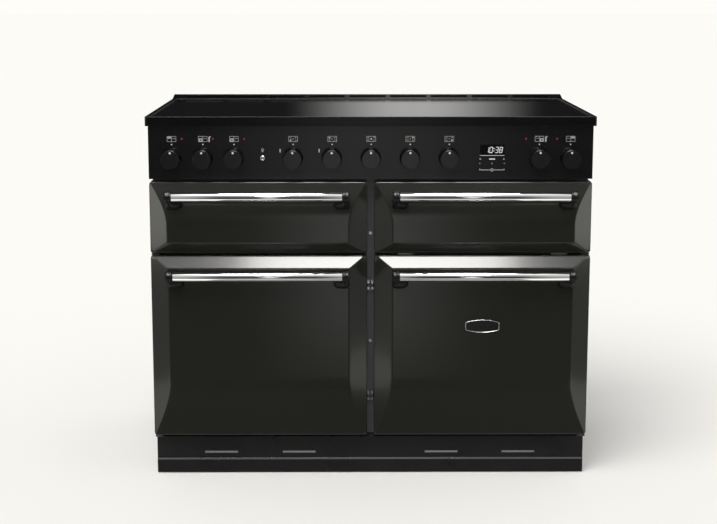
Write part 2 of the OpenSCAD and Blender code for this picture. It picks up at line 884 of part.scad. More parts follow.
// Ring elements round the fans, and looped rods under the roof of the grill and the slow oven
ring_at = 92;
rod_r = 4;
leg_x = 25;
leg_z = sqrt(ring_at * ring_at - leg_x * leg_x);
leg_r = 3;
ring_off = 22;
module ring_element(x) {
    ring_y = liner_back - ring_off;
    translate([x, 0, oven_mid_z]) union() {
        difference() {
            forward(0, ring_y + rod_r, 0, ring_at + rod_r, 2 * rod_r);
            forward(0, ring_y + rod_r + 1, 0, ring_at - rod_r, 2 * rod_r + 2);
        }
        for (end = [-1, 1])
            block([end * leg_x - leg_r, ring_y, leg_z - leg_r],
                [end * leg_x + leg_r, liner_back, leg_z + leg_r]);
    }
}

loops = 8;
loop_drop = 14;
loop_in = 40;
loop_front = 90;
loop_back = 60;
module looped_element(x) {
    z = small_z + small_h - loop_drop;
    span = 2 * (half_cavity - loop_in);
    step = span / loops;
    near = inner_y + loop_front;
    far = liner_back - loop_back;
    translate([x - span / 2, 0, z]) union() {
        for (i = [0:loops]) translate([i * step, near, 0]) rotate([-90, 0, 0])
            cylinder(r = rod_r, h = (i == 0 || i == loops ? liner_back : far) - near, $fn = 8);
        for (i = [0:loops - 1]) translate([i * step, i % 2 == 0 ? near + rod_r : far - rod_r, 0])
            rotate([0, 90, 0]) cylinder(r = rod_r, h = step, $fn = 8);
    }
}

module heating_elements() {
    color([0.3, 0.3, 0.3]) {
        ring_element(-door_x);
        ring_element(door_x);
        looped_element(-door_x);
        looped_element(door_x);
    }
}

// The control panel: a folded black face with holes for spindles, lamps, button and clock
panel_past = 4;
hole_play = 1.5;
module control_panel() {
    w = half_w + panel_past;
    top = panel_z + panel_h;
    color([0.06, 0.06, 0.06]) difference() {
        block([-w, panel_y, panel_z], [w, inner_y, top]);
        block([-w + panel_t, panel_y + panel_t, panel_z + panel_t],
            [w - panel_t, inner_y + 1, top - panel_t]);
        for (x = knob_places) forward(x, panel_y + 5, knob_z, spindle_r + hole_play, 10);
        for (x = lamp_places) forward(x, panel_y + 5, knob_z + lamp_up, neon_r + run, 10);
        forward(button_x, panel_y + 5, knob_z, button_r + run, 10);
        block([clock_x - clock_w / 2, panel_y - 1, clock_z],
            [clock_x + clock_w / 2, panel_y + panel_t + 1, clock_z + clock_h]);
    }
}

// Rotary switches behind the panel, the light switch that guides the button, and the clock module
switch_wall = 4;
guide_half = 12;
stop_gap = 3;
module_half = 40;
module_d = 20;
module_drop = 25;
module control_switches() {
    back = panel_y + panel_t;
    half = switch_w / 2;
    stop_y = back + button_in + button_travel + stop_gap;
    color([0.85, 0.85, 0.8]) {
        for (x = knob_places) difference() {
            block([x - half, back, knob_z - half], [x + half, back + switch_d, knob_z + half]);
            forward(x, back + switch_d - switch_wall, knob_z, spindle_r + run, switch_d);
        }
        difference() {
            block([button_x - guide_half, back, knob_z - guide_half],
                [button_x + guide_half, stop_y + switch_wall, knob_z + guide_half]);
            forward(button_x, stop_y, knob_z, button_r + run, stop_y - back + 1);
        }
        block([clock_x - module_half, back, knob_z - module_drop],
            [clock_x + module_half, back + module_d, clock_z + clock_h + 5]);
    }
}

module clock_window() {
    color([0.02, 0.02, 0.02])
        block([clock_x - clock_w / 2 + run, panel_y + 0.3, clock_z + run],
            [clock_x + clock_w / 2 - run, panel_y + panel_t, clock_z + clock_h - run]);
}

// Five red indicator lamps in the panel, and a lamp in the side of each oven
oven_lamp_r = 20;
oven_lamp_t = 12;
neon_in = 8;
neon_out = 1;
module lamps() {
    color([0.7, 0.1, 0.1]) for (x = lamp_places)
        forward(x, panel_y + panel_t + neon_in, knob_z + lamp_up, neon_r, panel_t + neon_in + neon_out);
    color([0.9, 0.9, 0.85]) for (side = [-1, 1])
        translate([side * (door_x - half_cavity + touch), lamp_y, (rung_z(3) + rung_z(4)) / 2])
            rotate([0, side * 90, 0]) cylinder(r = oven_lamp_r, h = oven_lamp_t);
}

module light_button() {
    color([0.8, 0.8, 0.8])
        forward(button_x, panel_y + panel_t + button_in, knob_z, button_r, button_in + panel_t + button_out);
}

// A knob: a skirt, a waisted grip with a rounded nose, and a spindle that runs in its switch
module knob(i) {
    nose = 1;
    waist = 4;
    color([0.08, 0.08, 0.08])
    translate([knob_places[i], panel_y - knob_off, knob_z]) rotate([90, 0, 0]) union() {
        rotate_extrude() polygon([
            [0, 0], [skirt_r, 0], [skirt_r, 2.5], [knob_r - waist, 8], [knob_r - waist, 13],
            [knob_r, knob_depth - 7], [knob_r, knob_depth - nose], [knob_r - nose, knob_depth],
            [0, knob_depth]
        ]);
        translate([0, 0, -knob_off - panel_t - spindle_l])
            cylinder(r = spindle_r, h = spindle_l + panel_t + knob_off + 1);
    }
}
module knob_grill() knob(0);
module knob_left_function() knob(1);
module knob_left_heat() knob(2);
module knob_zone_1() knob(3);
module knob_zone_2() knob(4);
module knob_zone_3() knob(5);
module knob_zone_4() knob(6);
module knob_zone_5() knob(7);
module knob_right_heat() knob(8);
module knob_slow_oven() knob(9);

// The hob's pressed surround: a rim round the glass, an open middle, and a raised strip of vents
vent_slope = 44;
vent_end = 30;
vent_bar = 14;
vent_wall = 3;
vent_at = [33, 15];
tray_lap = 8;
module hob_surround() {
    slot_pitch = (hob_w - 2 * vent_end) / vent_slots;
    slot_w = slot_pitch - vent_bar;
    strip = [
        [glass_back, total_h - 1], [glass_back + vent_slope, total_h + vent_rise],
        [y_back, total_h + vent_rise], [y_back, total_h - 1]
    ];
    color([0.1, 0.1, 0.1]) difference() {
        union() {
            block([-hob_w / 2, hob_front, surround_z], [hob_w / 2, y_back, total_h]);
            translate([-hob_w / 2, 0, 0]) rotate([90, 0, 90]) linear_extrude(hob_w) polygon(strip);
        }
        block([-hob_w / 2 + rim, hob_front + rim, glass_z],
            [hob_w / 2 - rim, glass_back, total_h + 1]);
        block([-tray_half + tray_lap, tray_front + tray_lap, surround_z - 1],
            [tray_half - tray_lap, tray_back - tray_lap, total_h]);
        block([-hob_w / 2 + rim, back_y + 8, surround_z - 1],
            [hob_w / 2 - rim, y_back - vent_wall, total_h]);
        for (i = [0:vent_slots - 1]) translate([(i - (vent_slots - 1) / 2) * slot_pitch, 0, 0])
            block([-slot_w / 2, y_back - vent_at[0], total_h - 5],
                [slot_w / 2, y_back - vent_at[1], total_h + vent_rise + 1]);
    }
}

module hob_glass() {
    color([0.03, 0.03, 0.03])
        block([-hob_w / 2 + rim + touch, hob_front + rim + touch, glass_z],
            [hob_w / 2 - rim - touch, glass_back - touch, glass_z + glass_t]);
}

// The pan under the glass, with an upright pin and a round shroud for its cooling fan
shroud_t = 3;
shroud_h = 22;
pivot_r = 2;
inlet_ring = 24;
inlet_r = 6;
module hob_tray() {
    color([0.6, 0.62, 0.63]) union() {
        difference() {
            block([-tray_half, tray_front, tray_z], [tray_half, tray_back, surround_z]);
            block([-tray_half + tray_t, tray_front + tray_t, tray_z + tray_t],
                [tray_half - tray_t, tray_back - tray_t, surround_z + 1]);
            for (a = [0:45:315]) translate([0, fan_y, tray_z - 1]) rotate([0, 0, a])
                translate([inlet_ring, 0, 0]) cylinder(r = inlet_r, h = 5);
        }
        translate([0, fan_y, tray_z]) cylinder(r = pivot_r, h = shroud_h);
        translate([0, fan_y, tray_z + 1]) difference() {
            cylinder(r = fan_r + shroud_t, h = shroud_h);
            translate([0, 0, -1]) cylinder(r = fan_r, h = shroud_h + 2);
        }
    }
}

rotor_r = 14;
rotor_h = 18;
vanes = 5;
vane_t = 2;
vane_h = 15;
module cooling_fan() {
    z = tray_z + tray_t + slide_gap;
    color([0.1, 0.1, 0.1]) translate([0, fan_y, z]) difference() {
        union() {
            cylinder(r = rotor_r, h = rotor_h);
            for (i = [0:vanes - 1]) rotate([0, 0, 360 / vanes * i])
                translate([rotor_r - 2, -vane_t / 2, 1]) cube([fan_r - rotor_r, vane_t, vane_h]);
        }
        translate([0, 0, -1]) cylinder(r = pivot_r + run, h = rotor_h + 2);
    }
}

// Each zone: a wound coil on an aluminium plate with a post; two power boards lie on the tray
coil_t = 6;
coil_eye = 20;
plate_t = 3;
plate_past = 4;
column_r = 12;
board_x = 190;
board_half = [100, 90];
board_h = 18;
module induction_units() {
    coil_z = glass_z - slide_gap - coil_t;
    floor_z = tray_z + tray_t;
    for (zone = zones) translate([zone[0], hob_mid + zone[1], 0]) {
        color([0.72, 0.45, 0.2]) translate([0, 0, coil_z]) difference() {
            cylinder(r = zone[2], h = coil_t);
            translate([0, 0, -1]) cylinder(r = coil_eye, h = coil_t + 2);
        }
        color([0.7, 0.7, 0.72]) union() {
            translate([0, 0, coil_z - plate_t]) cylinder(r = zone[2] + plate_past, h = plate_t);
            translate([0, 0, floor_z]) cylinder(r = column_r, h = coil_z - plate_t - floor_z + 1);
        }
    }
    color([0.1, 0.4, 0.2]) for (side = [-1, 1]) translate([side * board_x, hob_mid, floor_z])
        block([-board_half[0], -board_half[1], 0], [board_half[0], board_half[1], board_h]);
}

// The supply box on the back, with a gland for the cable that comes up from the floor
drawn_box_x = 380;
box_x = drawn_box_x * spread;
box_z = 330;
box_half = 60;
box_d = 38;
box_h = 90;
box_t = 3;
gland_l = 22;
gland_t = 4;
module terminal_box() {
    color([0.15, 0.15, 0.15]) translate([box_x, back_y, box_z]) difference() {
        union() {
            block([-box_half, 0, 0], [box_half, box_d, box_h]);
            translate([0, box_d / 2, -gland_l]) cylinder(r = gland_r + gland_t, h = gland_l + 1);
        }
        block([-box_half + box_t, box_t, box_t], [box_half - box_t, box_d - box_t, box_h - box_t]);
        translate([0, box_d / 2, -gland_l - 1]) cylinder(r = gland_r, h = gland_l + 10);
    }
}

base_chassis();
levelling_feet();
roller_left();
roller_right();
side_panel_left();
side_panel_right();
back_panel();
front_frame();
plinth();
oven_liner_left();
oven_liner_right();
grill_liner();
slow_oven_liner();
insulation();
door_seals();
door_catches();
shelf_ladders();
oven_shelves();
fan_covers();
fan_motors();
oven_fan_left();
oven_fan_right();
heating_elements();
grill_runners();
door_hinges();
control_panel();
control_switches();
clock_window();
lamps();
light_button();
hob_surround();
hob_glass();
hob_tray();
induction_units();
cooling_fan();
terminal_box();
oven_door_left();
oven_door_right();
inner_door_left();
inner_door_right();
handle_left();
handle_right();
badge_plate();
grill_front();
grill_handle();
grill_carriage();
grill_pan();
slow_door();
inner_door_slow();
slow_handle();
knob_grill();
knob_left_function();
knob_left_heat();
knob_zone_1();
knob_zone_2();
knob_zone_3();
knob_zone_4();
knob_zone_5();
knob_right_heat();
knob_slow_oven();
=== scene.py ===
import math

import bmesh
import bpy
import numpy as np
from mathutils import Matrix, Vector


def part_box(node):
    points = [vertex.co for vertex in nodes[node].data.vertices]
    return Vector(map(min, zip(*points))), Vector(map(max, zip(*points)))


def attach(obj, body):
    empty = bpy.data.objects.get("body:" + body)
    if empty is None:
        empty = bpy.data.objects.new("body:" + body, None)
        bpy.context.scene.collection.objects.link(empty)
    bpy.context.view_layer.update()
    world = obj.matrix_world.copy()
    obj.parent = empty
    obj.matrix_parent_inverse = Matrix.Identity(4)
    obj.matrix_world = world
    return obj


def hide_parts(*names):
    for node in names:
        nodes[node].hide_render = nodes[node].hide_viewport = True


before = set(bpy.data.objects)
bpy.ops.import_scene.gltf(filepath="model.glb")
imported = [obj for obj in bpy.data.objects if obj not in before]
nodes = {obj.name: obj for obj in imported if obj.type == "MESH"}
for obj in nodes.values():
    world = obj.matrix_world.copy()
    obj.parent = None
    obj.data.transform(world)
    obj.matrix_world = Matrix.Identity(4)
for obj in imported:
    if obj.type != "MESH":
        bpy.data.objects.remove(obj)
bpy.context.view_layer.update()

# Camera: a tall tripod in front of the cooker, a little left of its middle, with a long lens.
# The picture is taken to be 717 by 524.
eye = bpy.data.objects.new("camera", bpy.data.cameras.new("camera"))
eye.location = (-0.0574, -3.6112, 1.2194)
eye.rotation_euler = (math.pi / 2 - 0.1563, 0, -0.0052)
eye.data.lens = 69.384
eye.data.sensor_width = 36
eye.data.shift_x = 0.0056
eye.data.shift_y = -0.08
eye.data.clip_end = 200
bpy.context.scene.collection.objects.link(eye)
bpy.context.scene.camera = eye
bpy.context.scene.view_settings.view_transform = "Standard"


class Wire:
    """A value that runs between shader nodes; Python's own signs on it add the Math nodes."""

    def __init__(self, tree, socket):
        self.tree, self.socket = tree, socket

    def node(self, kind, values, out=0, **settings):
        """Adds a node: its settings first, then a value or a wire into each of its sockets."""
        made = self.tree.nodes.new("ShaderNode" + kind)
        stops = settings.pop("stops", None)
        for key, value in settings.items():
            setattr(made, key, value)
        if stops:
            while len(made.color_ramp.elements) < len(stops):
                made.color_ramp.elements.new(1.0)
            for element, (place, shade) in zip(made.color_ramp.elements, stops):
                element.position = place
                element.color = (*shade, 1) if len(shade) == 3 else (shade[0],) * 3 + (1,)
        for key, value in values.items():
            if isinstance(value, Wire):
                self.tree.links.new(value.socket, made.inputs[key])
            else:
                made.inputs[key].default_value = value
        return Wire(self.tree, made.outputs[out])

    def sign(self, operation, *others):
        return self.node("Math", dict(enumerate(others)), operation=operation)

    def __add__(self, other):
        return self.sign("ADD", self, other)

    def __sub__(self, other):
        return self.sign("SUBTRACT", self, other)

    def __mul__(self, other):
        return self.sign("MULTIPLY", self, other)

    def __rsub__(self, other):
        return self.sign("SUBTRACT", other, self)

    __radd__ = __add__
    __rmul__ = __mul__

    def size(self):
        return self.sign("ABSOLUTE", self)

    def above(self, edge):
        return self.sign("GREATER_THAN", self, edge)

    def below(self, edge):
        return self.sign("LESS_THAN", self, edge)

    def most(self, other):
        return self.sign("MAXIMUM", self, other)

    def rise(self, low, high):
        """0 up to low, 1 from high on, and smooth between the two."""
        return self.node("MapRange", {"Value": self, "From Min": low, "From Max": high},
                         interpolation_type="SMOOTHSTEP")

    def blend(self, first, second):
        """The first colour where this wire is 0 and the second where it is 1."""
        sockets = {0: self}
        for key, shade in ((6, first), (7, second)):
            sockets[key] = shade if isinstance(shade, Wire) else (*shade, 1)
        return self.node("Mix", sockets, out=2, data_type="RGBA")


# World: a white studio seen by the camera and by polished pieces, and a quieter even light on
# everything else.
world = bpy.data.worlds.new("studio")
bpy.context.scene.world = world
world.use_nodes = True
sky = world.node_tree.nodes["Background"]
ray = Wire(world.node_tree, sky.inputs["Color"])
seen = ray.node("LightPath", {}, out="Is Camera Ray")
seen = seen.most(ray.node("LightPath", {}, out="Is Glossy Ray"))
seen = seen.most(ray.node("LightPath", {}, out="Is Transmission Ray"))
shade = seen.blend((0.50, 0.50, 0.50), (1.0, 0.982, 0.94))
world.node_tree.links.new(shade.socket, sky.inputs["Color"])

# Key light: one wide soft lamp, high in front and a little to the left, far away. It leaves no
# glint of its own; the soft boxes round the set give those.
key = bpy.data.objects.new("key_light", bpy.data.lights.new("key_light", "SUN"))
key.data.energy = 1.96
key.data.angle = math.radians(50)
key.rotation_euler = Vector((0.35, 0.62, -1.0)).to_track_quat("-Z", "Y").to_euler()
key.visible_glossy = False
bpy.context.scene.collection.objects.link(key)


def stage_piece(name, vertices, faces):
    """A mesh of the studio, which isn't part of the cooker."""
    mesh = bpy.data.meshes.new(name)
    mesh.from_pydata(vertices, [], faces)
    piece = bpy.data.objects.new(name, mesh)
    bpy.context.scene.collection.objects.link(piece)
    mesh.materials.append(bpy.data.materials.new(name))
    mesh.materials[0].use_nodes = True
    return piece, mesh.materials[0].node_tree


# Floor: a plain pale sheet under the cooker, matt, that takes its soft shadow. It is wide enough to
# run past every view, and polished pieces see the dark studio round it instead.
floor, tree = stage_piece("studio_floor", [(-60, -60, 0), (60, -60, 0), (60, 60, 0), (-60, 60, 0)],
                          [(0, 1, 2, 3)])
tree.nodes["Principled BSDF"].inputs["Base Color"].default_value = (0.975, 0.958, 0.918, 1)
tree.nodes["Principled BSDF"].inputs["Roughness"].default_value = 0.9
tree.nodes["Principled BSDF"].inputs["Specular IOR Level"].default_value = 0.0
floor.visible_glossy = False

# Surround: the dark studio round the set, with its soft boxes, as polished metal and enamel see it.
# It is a large ball; its shader lights patches of it by height and side. Only reflections see it.
turns, rings, ball_r, ball_up = 48, 24, 6, 0.5
angle = np.arange(turns) * 2 * np.pi / turns
lift = np.linspace(-np.pi / 2, np.pi / 2, rings + 1)
ball = np.stack([np.cos(lift)[:, None] * np.sin(angle), -np.cos(lift)[:, None] * np.cos(angle),
                 np.sin(lift)[:, None] * np.ones(turns)], 2)
ball = ball.reshape(-1, 3) * ball_r + (0, 0, ball_up)
quads = [(r * turns + t, r * turns + (t + 1) % turns, (r + 1) * turns + (t + 1) % turns,
          (r + 1) * turns + t) for r in range(rings) for t in range(turns)]
surround, tree = stage_piece("studio_surround", ball.tolist(), quads)
for polygon in surround.data.polygons:
    polygon.use_smooth = True
tree.nodes.remove(tree.nodes["Principled BSDF"])
start = Wire(tree, None)
place = start.node("TexCoord", {}, out="Object")
side = place.node("SeparateXYZ", {0: place}, out=0)
deep = place.node("SeparateXYZ", {0: place}, out=1)
high = place.node("SeparateXYZ", {0: place}, out=2) - ball_up
front = deep.rise(1.0, -1.0)
back = 1 - front
soft_box_power, dimmest = 26, 0.014
strip = high.rise(4.15, 4.65) * (1 - high.rise(5.50, 5.70)) * front
strip = strip * (1 - (side - 0.155).size().rise(0.76, 0.98))
broad = (high.rise(-0.1, 0.6) * 0.12 + high.rise(1.7, 2.9) * 0.30) * front
above = high.rise(4.0, 4.7) * front * (1.9 - side.rise(-0.6, 0.6) * 1.1)
sheen = (side - 0.08).size().rise(0.80, 0.0) * high.rise(-2.1, -1.1)
sheen = sheen * (1 - high.rise(0.6, 1.2)) * front * 1.1
wings = side.size().rise(2.4, 4.4) * front * 0.34
ground = (1 - high.rise(-3.4, -2.8)) * 0.85
glow = (side - 0.40).size().rise(0.90, 0.05) * back * (1 - high.rise(3.4, 4.2))
glow = glow * high.rise(-1.0, 0.0) * 0.62
crown = high.rise(5.5, 5.6) * (1 - deep.size().rise(0.25, 0.6))
light = strip * soft_box_power + broad + above + sheen + wings + ground + glow
light = light + crown * soft_box_power + dimmest
lamp = start.node("Emission", {"Strength": light, "Color": (1, 0.99, 0.97, 1)})
tree.links.new(lamp.socket, tree.nodes["Material Output"].inputs["Surface"])
surround.visible_camera = surround.visible_diffuse = False
surround.visible_transmission = surround.visible_shadow = False

# Cards: two soft boxes low at the sides, which only the outer chamfers of the upper doors face, and
# on the floor a dark card before the plinth with a pale one at each side, fading towards the front.
cards = []
card_up = 0.001
for card_name, x, strength in (("side_card_left", -2, 2.9), ("side_card_right", 2, 2.6)):
    cards.append((card_name, strength, [(x, -1.35, 0.27), (x, -0.55, 0.27), (x, -0.55, 1.1),
                                        (x, -1.35, 1.1)]))
for card_name, x0, x1, y0, y1, strength in (("floor_card", -0.62, 0.62, -0.66, -0.34, 0.08),
                                            ("floor_card_left", -1.3, -0.62, -0.9, 0, 1.25),
                                            ("floor_card_right", 0.62, 1.3, -0.9, 0, 1.25)):
    cards.append((card_name, strength, [(x0, y0, card_up), (x1, y0, card_up), (x1, y1, card_up),
                                        (x0, y1, card_up)]))
for card_name, strength, corners in cards:
    card, tree = stage_piece(card_name, corners, [(0, 1, 2, 3)])
    tree.nodes.remove(tree.nodes["Principled BSDF"])
    start = Wire(tree, None)
    if card_name.startswith("floor_card_"):
        place = start.node("TexCoord", {}, out="Object")
        strength *= place.node("SeparateXYZ", {0: place}, out=1).rise(0.0, -0.5)
    lamp = start.node("Emission", {"Strength": strength, "Color": (1, 1, 0.93, 1)})
    tree.links.new(lamp.socket, tree.nodes["Material Output"].inputs["Surface"])
    card.visible_camera = card.visible_diffuse = False
    card.visible_transmission = card.visible_shadow = False


# ---- The cooker, from the floor up ----

class Finish:
    """A material: constants on the shader's own sockets, and wires for what varies."""

    def __init__(self, name, shade, rough, metal=0.0, **constants):
        self.material = bpy.data.materials.new(name)
        self.material.use_nodes = True
        self.tree = self.material.node_tree
        self.shader = self.tree.nodes["Principled BSDF"]
        self.shade, self.rough = shade, rough
        self.set("Base Color", (*shade, 1))
        self.set("Roughness", rough)
        self.set("Metallic", metal)
        for key, value in constants.items():
            self.set(key.replace("_", " "), value)
        self.start = Wire(self.tree, None)
        self.place = self.start.node("TexCoord", {}, out="Object")

    def set(self, socket, value):
        if isinstance(value, Wire):
            self.tree.links.new(value.socket, self.shader.inputs[socket])
        else:
            self.shader.inputs[socket].default_value = value

    def along(self, axis):
        return self.start.node("SeparateXYZ", {0: self.place}, out="XYZ".index(axis))

    def grain(self, scale, stretch=(1, 1, 1), detail=3.0, rough=0.55):
        """Cloudy noise from 0 to 1, drawn out along the axes whose stretch is small."""
        laid = self.start.node("Mapping", {"Vector": self.place, "Scale": stretch})
        return self.start.node("TexNoise", {"Vector": laid, "Scale": scale, "Detail": detail,
                                            "Roughness": rough}, out=0)

    def bump(self, height, depth, strength=1.0):
        """Raises the surface by depth metres where height is 1."""
        self.set("Normal", self.start.node("Bump", {"Height": height, "Distance": depth,
                                                    "Strength": strength}))

    def worn(self, grain, change=0.25, rough=0.08):
        """Lets colour and roughness drift a little with a grain."""
        dark = [max(0, c * (1 - change)) for c in self.shade]
        light = [min(1, c * (1 + change)) for c in self.shade]
        self.set("Base Color", grain.blend(dark, light))
        self.set("Roughness", (grain - 0.5) * rough + self.rough)


def dress(finish, *names):
    """Gives the finish to the construction's own pieces."""
    for name in names:
        data = nodes[name].data
        data.materials.clear()
        data.materials.append(finish.material)


# Base chassis, hob tray and back panel: folded channels, trays and a sheet of galvanised steel,
# screwed together. The zinc has faint spangles and a dull sheen.
galvanised = Finish("galvanised_sheet", (0.46, 0.47, 0.48), 0.42, 0.85)
spangle = galvanised.start.node("TexVoronoi", {"Vector": galvanised.place, "Scale": 90.0}, out=1)
spangle = spangle.node("SeparateColor", {0: spangle}, out=0)
galvanised.worn(spangle * 0.6 + galvanised.grain(14) * 0.4, 0.16, 0.18)
dress(galvanised, "base_chassis", "hob_tray")
rear_zinc = Finish("back_sheet", (0.40, 0.41, 0.42), 0.46, 0.8)
spangle = rear_zinc.start.node("TexVoronoi", {"Vector": rear_zinc.place, "Scale": 60.0}, out=1)
rear_zinc.worn(spangle.node("SeparateColor", {0: spangle}, out=0), 0.14, 0.15)
dress(rear_zinc, "back_panel")

# Levelling feet, rear rollers and cooling fan: moulded dark nylon with a fine grain. The feet sit
# on threaded studs and the rollers on axles in the chassis.
nylon = Finish("moulded_nylon", (0.035, 0.035, 0.037), 0.5)
nylon.worn(nylon.grain(60), 0.25, 0.1)
nylon.bump(nylon.grain(900, detail=2.0), 0.00012)
dress(nylon, "levelling_feet", "roller_left", "roller_right", "cooling_fan")

# Side panels: steel sheet in satin black enamel, folded over the chassis and the front frame at
# their edges and screwed from inside.
satin_black = Finish("satin_black_enamel", (0.012, 0.012, 0.0125), 0.32, Coat_Weight=0.15)
satin_black.worn(satin_black.grain(5), 0.2, 0.06)
satin_black.bump(satin_black.grain(1400, detail=1.0), 0.00004)
dress(satin_black, "side_panel_left", "side_panel_right")


def softened(name, width, finish, body="cabinet", steps=2, corners=0.0):
    """A copy of a construction piece with its loose triangles joined and its sharp edges rounded.

    Its two upright front corners may have a larger radius of their own.
    """
    mesh = nodes[name].data.copy()
    mesh.name = name + "_softened"
    shape = bmesh.new()
    shape.from_mesh(mesh)
    bmesh.ops.remove_doubles(shape, verts=shape.verts, dist=1e-6)
    bmesh.ops.dissolve_limit(shape, angle_limit=math.radians(1), verts=shape.verts,
                             edges=shape.edges)
    if corners:
        low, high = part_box(name)
        near, shortest = 1e-4, 0.004
        upright = [e for e in shape.edges
                   if all(v.co.y < low.y + near and min(v.co.x - low.x, high.x - v.co.x) < near
                          for v in e.verts) and abs(e.verts[0].co.z - e.verts[1].co.z) > shortest]
        bmesh.ops.bevel(shape, geom=upright, offset=corners, segments=6, profile=0.5,
                        affect="EDGES")
    shape.to_mesh(mesh)
    shape.free()
    piece = bpy.data.objects.new(name + "_dressed", mesh)
    bpy.context.scene.collection.objects.link(piece)
    mesh.materials.clear()
    mesh.materials.append(finish.material)
    edge = piece.modifiers.new("edges", "BEVEL")
    edge.width, edge.segments, edge.limit_method = width, steps, "ANGLE"
    edge.angle_limit = math.radians(40)
    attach(piece, body)
    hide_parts(name)
    return piece


# Front frame: one pressed sheet of grey satin steel behind the doors, which closes the tubs' mouths
# and carries catches and hinges; it shows between the doors.
frame_grey = Finish("front_frame_steel", (0.13, 0.13, 0.133), 0.4, 0.15)
frame_grey.worn(frame_grey.grain(30, (1, 1, 0.2)), 0.12, 0.1)
dress(frame_grey, "front_frame")

# Plinth: a kick panel of black enamelled steel with four air slots and a black toe strip under it.
# A grey metallic band is painted across the sheet where the toe strip's ledge catches light: a
# painted highlight. It clips to the chassis in front of the feet.
ledge_highlight_low, ledge_highlight_high, ledge_highlight_grey = 0.0361, 0.0399, (0.30, 0.30, 0.30)
plinth_black = Finish("plinth_black", (0.0085, 0.0085, 0.009), 0.3)
level = plinth_black.along("Z")
# Painted highlight: a grey metallic band between these heights, where the ledge's top edge catches
# light.
bright = level.above(ledge_highlight_low) * level.below(ledge_highlight_high)
speck = plinth_black.grain(8)
enamelled = speck.blend((0.006, 0.006, 0.0065), (0.011, 0.011, 0.0115))
plinth_black.set("Base Color", bright.blend(enamelled, ledge_highlight_grey))
plinth_black.set("Metallic", bright * 0.9)
plinth_black.set("Roughness", speck * 0.08 + 0.24)
softened("plinth", 0.0006, plinth_black)

# Compartments: tubs of steel in glossy dark enamel with fine pale flecks, fixed behind the frame.
# The doors' inner pans, the fan covers and the grill pan wear the same enamel.
enamel = Finish("oven_enamel", (0.018, 0.018, 0.022), 0.16, Coat_Weight=0.4)
fleck = enamel.start.node("TexVoronoi", {"Vector": enamel.place, "Scale": 520.0}, out=0)
fleck = fleck.below(0.16) * enamel.grain(300, detail=1.0).above(0.56)
enamel.set("Base Color", fleck.blend(enamel.shade, (0.32, 0.33, 0.36)))
enamel.set("Roughness", enamel.grain(6) * 0.08 + 0.12)
dress(enamel, "oven_liner_left", "oven_liner_right", "grill_liner", "slow_oven_liner", "fan_covers",
      "inner_door_left", "inner_door_right", "inner_door_slow", "grill_pan")

# Insulation: yellow mineral wool, laid in mats round each tub between it and the casing. Its
# fibres lie along the mat and make its face fluffy.
wool = Finish("mineral_wool", (0.55, 0.47, 0.24), 0.95)
fibre = wool.grain(70, (1, 1, 5), detail=8.0, rough=0.75)
wool.worn(fibre, 0.45, 0.0)
wool.bump(fibre, 0.003)
dress(wool, "insulation")

# Door seals: frames of soft black rubber, moulded in one piece and pressed into the front frame
# round each mouth.
rubber = Finish("seal_rubber", (0.015, 0.015, 0.016), 0.62)
rubber.worn(rubber.grain(80), 0.2, 0.1)
rubber.bump(rubber.grain(700), 0.0001)
dress(rubber, "door_seals")

# Catches, runners, fan motors, fans, hinge brackets and elements: turned and pressed steel, screwed
# on. The first four are zinc-plated; the brackets and the elements' sheaths have gone dark.
plated = Finish("plated_steel", (0.55, 0.55, 0.56), 0.26, 1.0)
plated.worn(plated.grain(45, (1, 1, 3)), 0.12, 0.16)
dress(plated, "door_catches", "grill_runners", "fan_motors", "oven_fan_left", "oven_fan_right")
hinge_steel = Finish("hinge_steel", (0.10, 0.10, 0.105), 0.4, 0.8)
hinge_steel.worn(hinge_steel.grain(50), 0.15, 0.12)
dress(hinge_steel, "door_hinges")
sheath = Finish("element_sheath", (0.10, 0.10, 0.105), 0.45, 0.6)
sheath.worn(sheath.grain(120), 0.3, 0.2)
dress(sheath, "heating_elements")

# Shelf ladders and shelves: welded chromium-plated wire, slightly straw-coloured from heat. The
# ladders hook into the tubs' sides and the shelves lie on their rungs.
wire = Finish("plated_wire", (0.62, 0.60, 0.56), 0.16, 1.0)
wire.worn(wire.grain(25), 0.1, 0.12)
dress(wire, "shelf_ladders", "oven_shelves")

# The grill's carriage: folded stainless side members and cross pieces, riveted together. It rides
# on the runners and carries the grill's front and pan.
carriage = Finish("carriage_steel", (0.42, 0.42, 0.42), 0.32, 0.9)
carriage.worn(carriage.grain(20, (1, 0.05, 1)), 0.12, 0.14)
dress(carriage, "grill_carriage")

# Terminal box: moulded black plastic with a fine grain and a gland for the cable, screwed to the
# back panel.
box_plastic = Finish("box_plastic", (0.02, 0.02, 0.021), 0.48)
box_plastic.worn(box_plastic.grain(30), 0.2, 0.08)
box_plastic.bump(box_plastic.grain(1500, detail=1.0), 0.0001)
dress(box_plastic, "terminal_box")

# Control panel: a folded steel face in satin black enamel, with turned-back edges, screwed to the
# front frame and pierced for the switches, lamps and clock.
panel_black = Finish("panel_black", (0.0036, 0.0036, 0.0038), 0.24, Specular_IOR_Level=0.48)
panel_black.worn(panel_black.grain(4), 0.12, 0.05)
panel_black.bump(panel_black.grain(1800, detail=1.0), 0.00003)
softened("control_panel", 0.0016, panel_black)

# Switches and clock module: pale moulded plastic bodies, clipped behind the panel with their
# shafts through its holes.
switch_white = Finish("switch_body", (0.62, 0.61, 0.56), 0.5)
switch_white.worn(switch_white.grain(30), 0.08, 0.06)
dress(switch_white, "control_switches")

# Clock window: a plate of smoked plastic, nearly black and well polished, let into the panel over
# the clock module.
window = Finish("clock_window", (0.003, 0.003, 0.0035), 0.06)
window.set("Roughness", window.grain(20) * 0.04 + 0.04)
dress(window, "clock_window")

